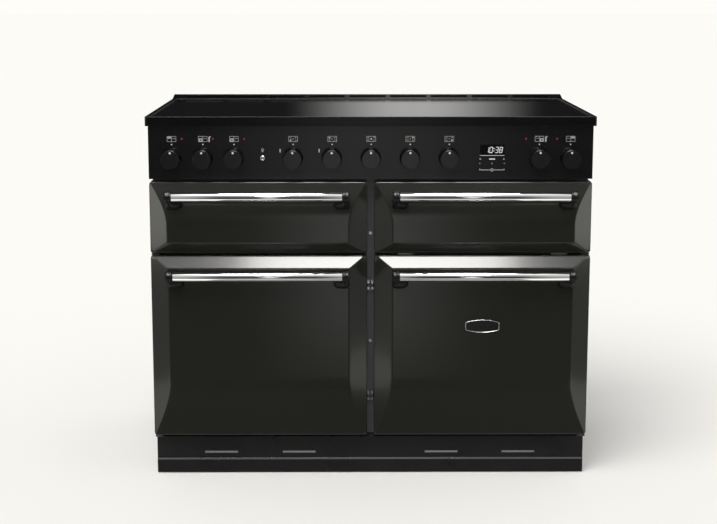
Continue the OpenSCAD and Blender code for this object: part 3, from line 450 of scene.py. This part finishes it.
# Lamps: five lenses of red plastic pushed into the panel, and a frosted glass lamp screwed into the
# side of each oven. One pattern serves both and changes from red to frosted behind the panel.
ovens_from, frosted = -0.2, (0.75, 0.74, 0.68)
lens = Finish("lamp_lens", (0.35, 0.012, 0.02), 0.2)
inside = lens.along("Y").above(ovens_from)
facet = lens.grain(900, detail=1.0)
lens.set("Base Color", inside.blend(facet.blend((0.20, 0.008, 0.014), (0.36, 0.03, 0.04)), frosted))
dress(lens, "lamps")


def lay_sheet(grid, around=False, turned=False):
    """Quads over a grid of points, rows by columns; around joins the last column to the first."""
    rows, columns = grid.shape[:2]
    number = np.arange(rows * columns).reshape(rows, columns)
    if around:
        number = np.concatenate([number, number[:, :1]], 1)
    quad = np.stack([number[:-1, :-1], number[:-1, 1:], number[1:, 1:], number[1:, :-1]], 2)
    quad = quad.reshape(-1, 4)
    return grid.reshape(-1, 3), quad[:, ::-1] if turned else quad


def build(name, parts, finish, body, smooth=True, outward=True, weld=1e-6):
    """Joins sheets of (points, faces) into one piece, welds its seams and puts it on a body."""
    count, points, faces = 0, [], []
    for spots, quads in parts:
        points.append(np.asarray(spots, float).reshape(-1, 3))
        faces += (np.asarray(quads) + count).tolist()
        count += len(points[-1])
    mesh = bpy.data.meshes.new(name)
    mesh.from_pydata(np.concatenate(points).tolist(), [], faces)
    shape = bmesh.new()
    shape.from_mesh(mesh)
    if weld:
        bmesh.ops.remove_doubles(shape, verts=shape.verts, dist=weld)
    if outward:
        bmesh.ops.recalc_face_normals(shape, faces=shape.faces)
    shape.to_mesh(mesh)
    shape.free()
    for polygon in mesh.polygons:
        polygon.use_smooth = smooth
    mesh.materials.append(finish.material)
    piece = bpy.data.objects.new(name, mesh)
    bpy.context.scene.collection.objects.link(piece)
    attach(piece, body)
    return piece


def turn(profile, centre, axis="Y", count=48):
    """Spins a profile of (radius, place along the axis) once round a line through centre."""
    profile = np.asarray(profile, float)
    a = np.arange(count) * 2 * np.pi / count
    r, s = profile[:, :1], profile[:, 1:] * np.ones(count)
    first, second = r * np.cos(a), r * np.sin(a)
    order = {"X": (s, first, second), "Y": (second, s, first), "Z": (first, second, s)}[axis]
    return lay_sheet(np.stack(order, 2) + centre, around=True)


# Light button: a push button of bright chromium-plated brass with a domed face, which springs in
# its switch behind the panel.
chrome = Finish("bright_chrome", (0.80, 0.80, 0.80), 0.07, 1.0)
chrome.set("Roughness", chrome.grain(6) * 0.05 + 0.05)
button_r, button_dome, button_edge = 0.006, 0.0022, 0.0002
low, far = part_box("light_button")
button_at = np.array([(low.x + far.x) / 2, 0, (low.z + far.z) / 2])
t = np.linspace(0, np.pi / 2, 8)
dome = np.stack([button_r * np.cos(t), low.y + button_dome * (1 - np.sin(t))], 1)
stem = [(0, far.y), (button_r - button_edge, far.y), (button_r, far.y - 0.0003)]
button = build("light_button_dressed", [turn([*stem, *dome], button_at)], chrome, "light_button")
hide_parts("light_button")

# Printed marks: white ink on the panel, a hair's breadth thick. Over each knob stand a small plan
# of the cooker with its own part filled in, and an index dot; by the button, a lamp sign.
ink = Finish("white_ink", (0.56, 0.56, 0.55), 0.5)
ink.worn(ink.grain(700), 0.06, 0.05)
panel_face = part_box("control_panel")[0].y
ink_y = panel_face - 0.00012


def rounded(x, z, w, h, r, y=ink_y, count=4):
    """A flat rounded rectangle about (x, z): quarter turns at its corners, fanned from inside."""
    a = np.linspace(0, np.pi / 2, count)
    corners = [(w / 2 - r, h / 2 - r, 0), (-w / 2 + r, h / 2 - r, 1), (-w / 2 + r, -h / 2 + r, 2),
               (w / 2 - r, -h / 2 + r, 3)]
    ring = np.concatenate([np.stack([cx + r * np.cos(a + q * np.pi / 2),
                                     cz + r * np.sin(a + q * np.pi / 2)], 1)
                           for cx, cz, q in corners])
    flat = np.stack([x + ring[:, 0], np.full(len(ring), y), z + ring[:, 1]], 1)
    middle = np.array([[x, y, z]])
    n = len(flat)
    ids = np.arange(n)
    return np.concatenate([flat, middle]), np.stack([ids, (ids + 1) % n, np.full(n, n)], 1)


def disc(x, z, r, y=ink_y, count=20):
    """A flat disc: a rounded square whose corners take up its whole side."""
    return rounded(x, z, 2 * r, 2 * r, r, y, count // 4 + 1)


def ring_mark(x, z, r, w, y=ink_y, count=28):
    """A flat ring of mean radius r and line width w."""
    a = np.arange(count) * 2 * np.pi / count
    grid = np.stack([np.stack([x + q * np.cos(a), np.full(count, y), z + q * np.sin(a)], 1)
                     for q in (r - w / 2, r + w / 2)])
    return lay_sheet(grid, around=True, turned=True)


def bar(x, z, w, h, y=ink_y, lean=0.0):
    """A flat bar about (x, z), whose top leans to the right by a share of its height."""
    foot, top = x - lean * h / 2, x + lean * h / 2
    return lay_sheet(np.array([[[foot - w / 2, y, z - h / 2], [foot + w / 2, y, z - h / 2]],
                               [[top - w / 2, y, z + h / 2], [top + w / 2, y, z + h / 2]]]))


def outline(x, z, w, h, line):
    """Four bars round a rectangle about (x, z)."""
    return [bar(x, z + h / 2, w, line), bar(x, z - h / 2, w, line),
            bar(x - w / 2, z, line, h + line), bar(x + w / 2, z, line, h + line)]


knob_names = ["knob_grill", "knob_left_function", "knob_left_heat", "knob_zone_1", "knob_zone_2",
              "knob_zone_3", "knob_zone_4", "knob_zone_5", "knob_right_heat", "knob_slow_oven"]
knob_x = [(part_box(n)[0].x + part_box(n)[1].x) / 2 for n in knob_names]
knob_z = (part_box("knob_grill")[0].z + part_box("knob_grill")[1].z) / 2
sign_z, dot_z, dot_r = 0.8526, 0.8392, 0.0017
sign_w, sign_h, sign_line, sign_right = 0.0215, 0.0128, 0.0006, 0.001
cells = {"knob_grill": (-1, 1), "knob_left_function": (-1, -1), "knob_left_heat": (-1, -1),
         "knob_right_heat": (1, -1), "knob_slow_oven": (1, 1)}
upper_cell, lower_cell, cell_line = (0.0043, 0.0029), (-0.0028, 0.0049), 0.0016
zone_spots = {"knob_zone_1": (-1, -1), "knob_zone_2": (-1, 1), "knob_zone_3": (0, 0),
              "knob_zone_4": (1, 1), "knob_zone_5": (1, -1)}
marks = []
for name, x in zip(knob_names, knob_x):
    x_sign = x + sign_right
    marks.append(disc(x_sign, dot_z, dot_r))
    marks += outline(x_sign, sign_z, sign_w, sign_h, sign_line)
    if name in cells:
        across, up = cells[name]
        marks.append(bar(x_sign, sign_z, 0.0007, sign_h))
        marks += [bar(x_sign + e * sign_w / 4, sign_z + 0.0012, sign_w / 2 - 0.003, sign_line)
                  for e in (-1, 1)]
        rise, lit_h = upper_cell if up > 0 else lower_cell
        marks += outline(x_sign + across * sign_w / 4, sign_z + rise, sign_w / 2 - 0.0042, lit_h,
                         cell_line)
    else:
        for spot in zone_spots.values():
            cx, cz = x_sign + spot[0] * sign_w * 0.29, sign_z + spot[1] * sign_h * 0.24
            if spot == zone_spots[name]:
                marks.append(disc(cx, cz, 0.0018, count=12))
            else:
                marks.append(ring_mark(cx, cz, 0.0014, 0.0004, count=10))
for name in ("knob_left_function", "knob_right_heat"):
    x = knob_x[knob_names.index(name)] + 0.0165
    marks += [bar(x, sign_z - 0.001, 0.0024, 0.0125),
              bar(x + 0.0024, sign_z + 0.0055, 0.0034, 0.0016)]
for name in ("knob_zone_1", "knob_zone_2"):
    marks.append(bar(knob_x[knob_names.index(name)] - 0.031, 0.8238, 0.0021, 0.0085))
bulb_z, cap_z = 0.8262, 0.8218
marks += [ring_mark(button_at[0], bulb_z, 0.0026, 0.0009), bar(button_at[0], cap_z, 0.0024, 0.0018)]

# Below the clock stand its touch marks, in the same ink: a line under the window, two signs with a
# key between them, three dots and a bracket line with a ring.
window_low, window_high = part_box("clock_window")
clock_x = (window_low.x + window_high.x) / 2
left, right = window_low.x + 0.001, window_high.x - 0.001
key_z, dots_z, bracket_z, mark_line, mark_reach = 0.8030, 0.7920, 0.7762, 0.0011, 0.030
marks.append(bar(clock_x, window_low.z - 0.0013, 0.060, mark_line))
marks += outline(left, key_z, 0.0026, 0.0022, 0.0008)
marks += [bar(right, key_z, 0.0036, 0.0010), bar(right, key_z, 0.0010, 0.0036)]
marks.append(rounded(clock_x, key_z, 0.0150, 0.0032, 0.0015))
marks += [disc(clock_x + d, dots_z, 0.0010, count=12) for d in (-mark_reach, 0, mark_reach)]
marks += [bar(clock_x + e * 0.0175, bracket_z, 0.0255, mark_line) for e in (-1, 1)]
marks += [bar(clock_x + e * mark_reach, bracket_z + 0.0013, mark_line, 0.0036) for e in (-1, 1)]
marks.append(ring_mark(clock_x, bracket_z, 0.0030, 0.0012))
build("panel_marks", marks, ink, "cabinet", smooth=False, outward=False, weld=0)

# Clock figures: slanting bars of white light behind the window, each figure seven strokes of which
# some are lit, with two points between the hours and the minutes.
figure_white = Finish("clock_figures", (0.85, 0.87, 0.86), 0.4)
figure_white.set("Emission Color", (0.85, 0.88, 0.86, 1))
figure_white.set("Emission Strength", 0.35)
figure_white.set("Base Color", figure_white.grain(900).blend((0.7, 0.72, 0.7), (0.9, 0.92, 0.9)))
strokes = {"1": "cf", "0": "abcefg", "3": "acdfg", "8": "abcdefg"}
w, h, line, lean = 0.0066, 0.0135, 0.0011, 0.16
stroke_at = {"a": (0, h / 2, True), "b": (-w / 2, h / 4, False), "c": (w / 2, h / 4, False),
             "d": (0, 0, True), "e": (-w / 2, -h / 4, False), "f": (w / 2, -h / 4, False),
             "g": (0, -h / 2, True)}
figure_y, figure_right = window_low.y - 0.0001, 0.003
figure_z = (window_low.z + window_high.z) / 2 - 0.0002
figures = []
for figure, shift in (("1", -0.0150), ("0", -0.0055), ("3", 0.0085), ("8", 0.0185)):
    for stroke in strokes[figure]:
        dx, dz, flat = stroke_at[stroke]
        size = (w - line * 0.6, line) if flat else (line, h / 2 - line * 0.8)
        figures.append(bar(clock_x + shift + figure_right + dx + lean * dz, figure_z + dz, *size,
                           y=figure_y, lean=0 if flat else lean))
for dz in (0.003, -0.003):
    figures.append(bar(clock_x + 0.0045 + lean * dz, window_low.z + 0.0125 + dz, 0.0017, 0.0017,
                       y=figure_y))
build("clock_figures", figures, figure_white, "cabinet", smooth=False, outward=False, weld=0)

# Hob surround: a deep pressed rim in black enamel with a raised strip of air slots at the back. Its
# edges are softly rolled and its front corners rounder; it drops over the casing from above.
rim_black = Finish("hob_rim_black", (0.0045, 0.0045, 0.0047), 0.18, Specular_IOR_Level=0.16)
rim_black.worn(rim_black.grain(5), 0.15, 0.05)
softened("hob_surround", 0.0014, rim_black, steps=3, corners=0.0055)

# Vent shade: a black sheet laid under the rim's air slots. It is painted shade that darkens the
# slots as the shade inside them does. Its two faces lie half a millimetre apart.
slot_shade_half, slot_shade_down, slot_shade_front, slot_shade_back = 0.535, 0.0098, 0.041, 0.003
# This sheet's black is painted shade for the inside of the air slots.
slot_shade_black = Finish("vent_slot_shade_black", (0.012, 0.012, 0.012), 0.5, 0.3)
slot_shade_black.worn(slot_shade_black.grain(300), 0.15, 0.0)
rim_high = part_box("hob_surround")[1]
slot_shade = np.array([[[x, rim_high.y - inward, rim_high.z - slot_shade_down]
                   for x in (-slot_shade_half, slot_shade_half)] for inward in (slot_shade_front, slot_shade_back)])
build("vent_slot_shade", [lay_sheet(slot_shade), lay_sheet(slot_shade - (0, 0, 0.0005), turned=True)], slot_shade_black,
      "cabinet", smooth=False, outward=False)

# Hob glass: black ceramic glass, faintly printed with a ring round each of its five zones, bedded
# in the rim with black sealant.
zones = ((-0.37, -0.125, 0.08), (-0.37, 0.125, 0.08), (0, 0, 0.105), (0.37, 0.125, 0.08),
         (0.37, -0.125, 0.08))
ring_out, ring_half_line = 0.004, 0.0009
hob_black = Finish("ceramic_glass", (0.0026, 0.0026, 0.0028), 0.10)
hx, hy = hob_black.along("X"), hob_black.along("Y")
middle_y = (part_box("induction_units")[0].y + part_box("induction_units")[1].y) / 2
marked = None
for zx, zy, zr in zones:
    dx, dy = hx - zx, hy - (middle_y + zy)
    span = dx * dx + dy * dy
    mark = (span.sign("SQRT", span) - (zr + ring_out)).size().below(ring_half_line)
    marked = mark if marked is None else marked.most(mark)
hob_black.set("Base Color", marked.blend(hob_black.shade, (0.022, 0.022, 0.023)))
hob_black.set("Roughness", hob_black.grain(3) * 0.03 + 0.085)
softened("hob_glass", 0.0008, hob_black)

# Under the glass: flat copper windings on plates with their posts, and two green power boards that
# lie lower down on the tray.
boards_under = 0.8655
winding = Finish("windings", (0.45, 0.22, 0.08), 0.35, 0.8)
board = winding.along("Z").below(boards_under)
thread = winding.grain(260, (1, 1, 0.1))
winding.set("Base Color", board.blend(thread.blend((0.38, 0.18, 0.06), (0.55, 0.28, 0.11)),
                                      (0.02, 0.09, 0.04)))
winding.set("Metallic", (1 - board) * 0.8)
dress(winding, "induction_units")


# Door skins: deep-drawn steel in glossy dark enamel. Each face bows forward, rolls back at one end
# and has chamfers at both sides and at its other end; the edges fold back round the inner pan.
door_enamel = Finish("door_enamel", (0.0150, 0.0150, 0.0126), 0.16, Coat_Weight=0.25,
                     Coat_Roughness=0.08, Specular_IOR_Level=0.32)
door_enamel.worn(door_enamel.grain(3.5), 0.10, 0.04)
ripple = door_enamel.grain(38, (1, 1, 0.6), detail=1.0)
peel = door_enamel.grain(900, detail=1.0)
door_enamel.bump(ripple * 0.8 + peel * 0.2, 0.00007)

bulge, side_run, end_run, corner, lip = 0.024, 0.043, 0.029, 0.0075, 0.0026
door_t, skin_t, lap, tall_stop, least_share = 0.040, 0.002, 0.0022, 0.125, 0.02
tall_roll, short_roll = 0.160, 0.106


def softer(first, second, k):
    """The lesser of two heights; where they differ by less than k, a parabola rounds the corner."""
    near = np.maximum(k - np.abs(first - second), 0) / k
    return np.minimum(first, second) - near * near * k / 4


def pressed_front(w, h, roll, end_up):
    """A door's outer surface in door coordinates: x across, y back, z up; it is a grid of points.

    Depth forward of the edge plane is the lesser of the bulge times the share at that height and
    the side slope times the distance in from the nearer side. The share is a quarter sine over the
    rolled end and a straight fall over the chamfered end, which stops short on the tall doors. Rows
    and columns lie closer together near the ends and about each crease.
    """
    stop = tall_stop if end_up else 0.0
    near_end = np.array([0, 0.0004, 0.001, 0.0018, 0.0028, 0.004, 0.0056]) + lip
    about = np.linspace(-0.0032, 0.0032, 11)
    up = np.concatenate([near_end, np.linspace(0.0095, roll, 38),
                         np.linspace(roll, h - end_run - 0.0045, 10)[1:], h - end_run + about,
                         np.linspace(h - end_run + 0.0045, h - 0.0095, 6), h - near_end[::-1]])
    share = softer(np.sin(np.pi / 2 * np.minimum(1, up / roll)),
                   stop + (1 - stop) * (h - up) / end_run, 0.09)
    share = np.maximum(share, least_share)
    end = np.minimum(up, h - up)
    round_off = corner - np.sqrt(np.maximum(0, corner ** 2 - (corner - end) ** 2))
    inset = np.where(end < corner, round_off, 0) + lip
    crease = np.maximum(side_run * share, 0.004)[:, None]
    left = np.concatenate([crease * ([0, 0.01, 0.04, 0.1, 0.25, 0.45, 0.65, 0.8]),
                           crease + about * np.maximum(share[:, None], 0.2)], 1)
    left = inset[:, None] + left
    middle = left[:, -1:] + (w - 2 * left[:, -1:]) * np.linspace(0, 1, 22)[1:-1]
    x = np.concatenate([left, middle, w - left[:, ::-1]], 1)
    side = np.minimum(x, w - x)
    ahead = softer(bulge * share[:, None] + 0 * x,
                   bulge / side_run * (side - inset[:, None]) + 0.0004, 0.0016 * share[:, None])
    z = up[:, None] + 0 * x
    if not end_up:
        z = h - z
    return np.stack([x, -np.maximum(ahead, 0), z], 2)


def folded(front, w, h):
    """The front grid and its folded edge: rings outward round a small arc, then straight back."""
    loop = np.concatenate([front[0, :-1], front[:-1, -1], front[-1, :0:-1], front[:0:-1, 0]])
    near = np.clip(loop, [corner, -1, corner], [w - corner, 1, h - corner])
    out = (loop - near) * (1, 0, 1)
    out /= np.maximum(np.linalg.norm(out, axis=1, keepdims=True), 1e-9)
    rings = [loop]
    for turned in np.radians([30, 60, 90]):
        rings.append(loop + out * lip * np.sin(turned) + (0, lip * (1 - np.cos(turned)), 0))
    edge = rings[-1] * (1, 0, 1)
    rings += [edge + (0, depth, 0) for depth in (0.004, 0.02, door_t)]
    return [lay_sheet(front), lay_sheet(np.stack(rings), around=True)]


def door_front(name, pan, body, roll, end_up, fittings):
    """A door's skin, which laps over its inner pan at top and bottom, and the steel parts on it."""
    low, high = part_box(name)
    pan_low, pan_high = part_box(pan)
    w, foot, head = high.x - low.x, pan_low.z - lap, pan_high.z + lap
    place = np.array([low.x, low.y + bulge, foot])
    sheets = folded(pressed_front(w, head - foot, roll, end_up), w, head - foot)
    skin = build(name + "_skin", [(points + place, quads) for points, quads in sheets], door_enamel,
                 body)
    wall = skin.modifiers.new("wall", "SOLIDIFY")
    wall.thickness, wall.offset = skin_t, -1
    if fittings:
        build(name + "_hinge_parts", fittings, hinge_steel, body, smooth=False)
    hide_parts(name)


def rod(axis, centre, r, start, end):
    """A turned steel rod with small chamfers, along an axis between two places on it."""
    c = r * 0.12
    return turn([(0, start), (r - c, start), (r, start + c), (r, end - c), (r - c, end), (0, end)],
                centre, axis, 32)


hinge_x, hinge_y, hinge_r, hinge_up = 0.5315, -0.249, 0.007, ((0.104, 0.120), (0.547, 0.563))
for name, pan, body, side_of in (
        ("oven_door_left", "inner_door_left", "left_oven_door", -1),
        ("oven_door_right", "inner_door_right", "right_oven_door", 1)):
    bosses = [rod("Z", (side_of * hinge_x, hinge_y, 0), hinge_r, *ends) for ends in hinge_up]
    door_front(name, pan, body, tall_roll, True, bosses)
door_front("grill_front", "inner_door_slow", "grill_drawer", short_roll, False, [])
slow_x, slow_half, slow_y, slow_z, pin_r, knuckle_r = 0.276, 0.190, -0.256, 0.567, 0.0015, 0.0026
pins = []
for x in (slow_x - slow_half, slow_x + slow_half):
    pins.append(rod("X", (x, slow_y, slow_z), pin_r, -0.018, 0.018))
    pins += [rod("X", (x, slow_y, slow_z), knuckle_r, e * 0.0133 - 0.005, e * 0.0133 + 0.005)
             for e in (-1, 1)]
door_front("slow_door", "inner_door_slow", "slow_oven_door", short_roll, False, pins)


# Handles: each is a chromium-plated tube held between two cast black brackets. A bracket is a
# round collar over the tube's end and a curved arm that spreads into a foot on the door's face.
bracket_black = Finish("bracket_black", (0.0040, 0.0040, 0.0044), 0.30, Specular_IOR_Level=0.3)
bracket_black.worn(bracket_black.grain(40), 0.2, 0.06)
bracket_black.bump(bracket_black.grain(1200, detail=1.0), 0.00003)
bar_chrome = Finish("bar_chrome", (0.82, 0.82, 0.83), 0.06, 1.0)
bar_chrome.set("Roughness", bar_chrome.grain(9, (0.15, 1, 1)) * 0.05 + 0.05)
bar_r, bar_edge, bar_in, ring_r = 0.011, 0.001, 0.006, 0.014
neck_w, foot_w, neck_t, foot_more_t = 0.0074, 0.0195, 0.0085, 0.0038


def handle(name, body, door, roll):
    """Tube, collars and arms; roll is the height over which the door's top rolls back, or None.

    An arm's middle line is a parabola from the collar to the foot, and its section a squared-off
    ellipse that grows along it. The foot's last ring is laid on the door's face.
    """
    low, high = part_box(name)
    axis_y, axis_z = low.y + ring_r, high.z - ring_r
    middle = (low.x + high.x) / 2
    half = (high.x - low.x) / 2
    door_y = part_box(door)[0].y
    end_at = half - bar_in
    tube = [(0, -end_at), (bar_r - bar_edge, -end_at), (bar_r, bar_edge - end_at),
            (bar_r, end_at - bar_edge), (bar_r - bar_edge, end_at), (0, end_at)]
    build(name + "_tube", [turn(tube, (middle, axis_y, axis_z), "X", 64)], bar_chrome, body)
    parts = []
    for end in (-1, 1):
        collar = np.array([(0, 0), (0.0105, 0), (0.0128, 0.0008), (0.0138, 0.0024), (0.014, 0.004),
                           (0.0138, 0.0115), (0.0134, 0.0122), (0.0138, 0.0129), (0.0137, 0.0152),
                           (0.0131, 0.016), (0.0112, 0.016), (0.0110, 0.0145)])
        collar[:, 1] = end * (half - collar[:, 1])
        parts.append(turn(collar, (middle, axis_y, axis_z), "X", 56))
        t = np.linspace(0, 1, 15)[:, None]
        first = np.array([axis_y + 0.001, axis_z - 0.002])
        bend = np.array([axis_y + 0.008, axis_z - 0.024])
        last = np.array([door_y + (0.006 if roll else 0.0), axis_z - 0.0245])
        path = (1 - t) ** 2 * first + 2 * t * (1 - t) * bend + t * t * last
        slope = 2 * (1 - t) * (bend - first) + 2 * t * (last - bend)
        slope /= np.linalg.norm(slope, axis=1, keepdims=True)
        ease = t[:, 0] ** 2 * (3 - 2 * t[:, 0])
        wide = neck_w + (foot_w - neck_w) * ease ** 1.3
        thick = neck_t + foot_more_t * ease
        a = np.linspace(0, 2 * np.pi, 41)[:-1]
        c, s = np.cos(a), np.sin(a)
        c, s = np.sign(c) * np.abs(c) ** 0.8, np.sign(s) * np.abs(s) ** 0.85
        outer_x = middle + end * (half - 0.0006)
        x = outer_x - end * wide[:, None] * (1 + c) + 0 * t
        lean = ease[:, None] * 0.006 * np.clip(-s, 0, 1) * (1 - c) / 2
        across = thick[:, None] * s
        y = path[:, :1] - slope[:, 1:] * across
        z = path[:, 1:] + slope[:, :1] * across
        x = x + end * lean
        seat = door_y + 0 * z[-1]
        if roll:
            fall = np.clip((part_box("slow_door")[1].z - z[-1]) / roll, 0, 1)
            seat = seat + bulge * (1 - np.sin(np.pi / 2 * fall))
        y[-1] = seat - 0.0001
        y[-2] = np.minimum(y[-2], seat - 0.0008)
        z[-1] = z[-2]
        rings = np.stack([x, y, z], 2)
        close = [rings[:1].mean(1, keepdims=True) + 0 * rings[:1], rings,
                 rings[-1:].mean(1, keepdims=True) + 0 * rings[-1:]]
        parts.append(lay_sheet(np.concatenate(close), around=True))
    arms = build(name + "_brackets", parts, bracket_black, body)
    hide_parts(name)


handle("handle_left", "left_oven_door", "oven_door_left", None)
handle("handle_right", "right_oven_door", "oven_door_right", None)
handle("grill_handle", "grill_drawer", "grill_front", short_roll)
handle("slow_handle", "slow_oven_door", "slow_door", short_roll)

# Badge plate: a small barrel-shaped plate, black with a thin bright rim and left blank, stuck on
# the right oven door.
badge_black = Finish("badge_black", (0.008, 0.008, 0.008), 0.22, Coat_Weight=0.4)
badge_black.worn(badge_black.grain(90), 0.2, 0.06)
badge_rim = Finish("badge_rim", (0.55, 0.55, 0.54), 0.22, 1.0)
badge_rim.worn(badge_rim.grain(200), 0.08, 0.08)
low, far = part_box("badge_plate")
badge_x, badge_z, badge_half = (low.x + far.x) / 2, (low.z + far.z) / 2, (far.x - low.x) / 2
badge_up, badge_end = (far.z - low.z) / 2, 0.0098
u = np.linspace(-1, 1, 21)
upper = np.stack([u * badge_half, badge_end + (badge_up - badge_end) * (1 - u ** 2)], 1)
barrel = np.concatenate([upper[::-1], upper * (1, -1)])


def barrel_ring(margin, y):
    """The badge's outline, two parabolas with straight ends, drawn in by a margin at a depth y."""
    ring = barrel * ((badge_half - margin) / badge_half, (badge_up - margin) / badge_up)
    return np.stack([badge_x + ring[:, 0], np.full(len(ring), y), badge_z + ring[:, 1]], 1)


field_y = low.y + 0.0006
rim_rows = [barrel_ring(0, far.y), barrel_ring(0, low.y + 0.0007),
            barrel_ring(0.0004, low.y + 0.0002), barrel_ring(0.0009, low.y),
            barrel_ring(0.0014, low.y + 0.0002), barrel_ring(0.0017, field_y)]
build("badge_rim", [lay_sheet(np.stack(rim_rows), around=True)], badge_rim, "right_oven_door")
plate_rows = [barrel_ring(0.0012, far.y), barrel_ring(0.0016, field_y)]
plate_rows += [plate_rows[-1].mean(0) + 0 * plate_rows[-1]]
plate = build("badge_field", [lay_sheet(np.stack(plate_rows), around=True)], badge_black,
              "right_oven_door", smooth=False)
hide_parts("badge_plate")

# Knobs: moulded glossy black plastic, waisted above a skirt. A disc is let low into the nose, so
# that a deep bevel shows over it, with a white dot near its top. Each sits on a plated spindle.
# The body and the face are lit and shaded copies of one black plastic: the body is darker and less
# glossy as painted shade on its bevel and sides, and the face is paler as painted light.
knob_shaded_body = Finish("knob_shaded_body", (0.0014, 0.0014, 0.0015), 0.16, Specular_IOR_Level=0.34)
knob_shaded_body.worn(knob_shaded_body.grain(60), 0.15, 0.05)
knob_lit_face = Finish("knob_lit_face", (0.0058, 0.0058, 0.0060), 0.24, Specular_IOR_Level=0.52)
knob_lit_face.worn(knob_lit_face.grain(60), 0.1, 0.04)
knob_r, off_panel, spindle_r, spindle_in = 0.0240, 0.0015, 0.003, 0.020
dot_up, dot_half = 0.0155, 0.0026
around = np.arange(72) * 2 * np.pi / 72
for name, x in zip(knob_names, knob_x):
    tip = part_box(name)[0].y + 0.0001
    back = panel_face - off_panel
    profile = [(0, 0.0), (knob_r + 0.0008, 0.0), (knob_r + 0.001, -0.0004),
               (knob_r + 0.001, -0.0018), (knob_r - 0.0004, -0.0035), (knob_r - 0.0032, -0.0060),
               (knob_r - 0.0040, -0.0095), (knob_r - 0.0034, -0.0135), (knob_r - 0.0014, -0.0175),
               (knob_r - 0.0001, -0.0210), (knob_r, -0.0230)]
    centre = np.array([x, 0, knob_z])
    grip = turn([(radius, back + y) for radius, y in profile], centre, "Y", 72)
    rows = [(knob_r, 0, back - 0.0230), (knob_r - 0.0002, 0.0001, back - 0.0243),
            (0.0226, 0.0008, tip + 0.0012), (0.0221, 0.0010, tip + 0.0004),
            (0.0217, 0.0011, tip + 0.0001), (0.0213, 0.0012, tip), (0.0208, 0.0012, tip),
            (0, 0.0012, tip)]
    nose = np.stack([np.stack([x + r * np.sin(around), y + 0 * around,
                               knob_z - drop + r * np.cos(around)], 1) for r, drop, y in rows])
    body = build(name + "_body", [grip, lay_sheet(nose[:-2], around=True)], knob_shaded_body, name)
    build(name + "_face", [lay_sheet(nose[-3:], around=True)], knob_lit_face, name, smooth=False)
    build(name + "_dot", [disc(x, knob_z + dot_up, dot_half, y=tip - 0.00006)], ink, name,
          smooth=False, outward=False)
    spindle = [(0, panel_face + spindle_in), (spindle_r, panel_face + spindle_in),
               (spindle_r, back), (0, back)]
    build(name + "_spindle", [turn(spindle, centre, "Y", 24)], plated, name)
    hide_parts(name)
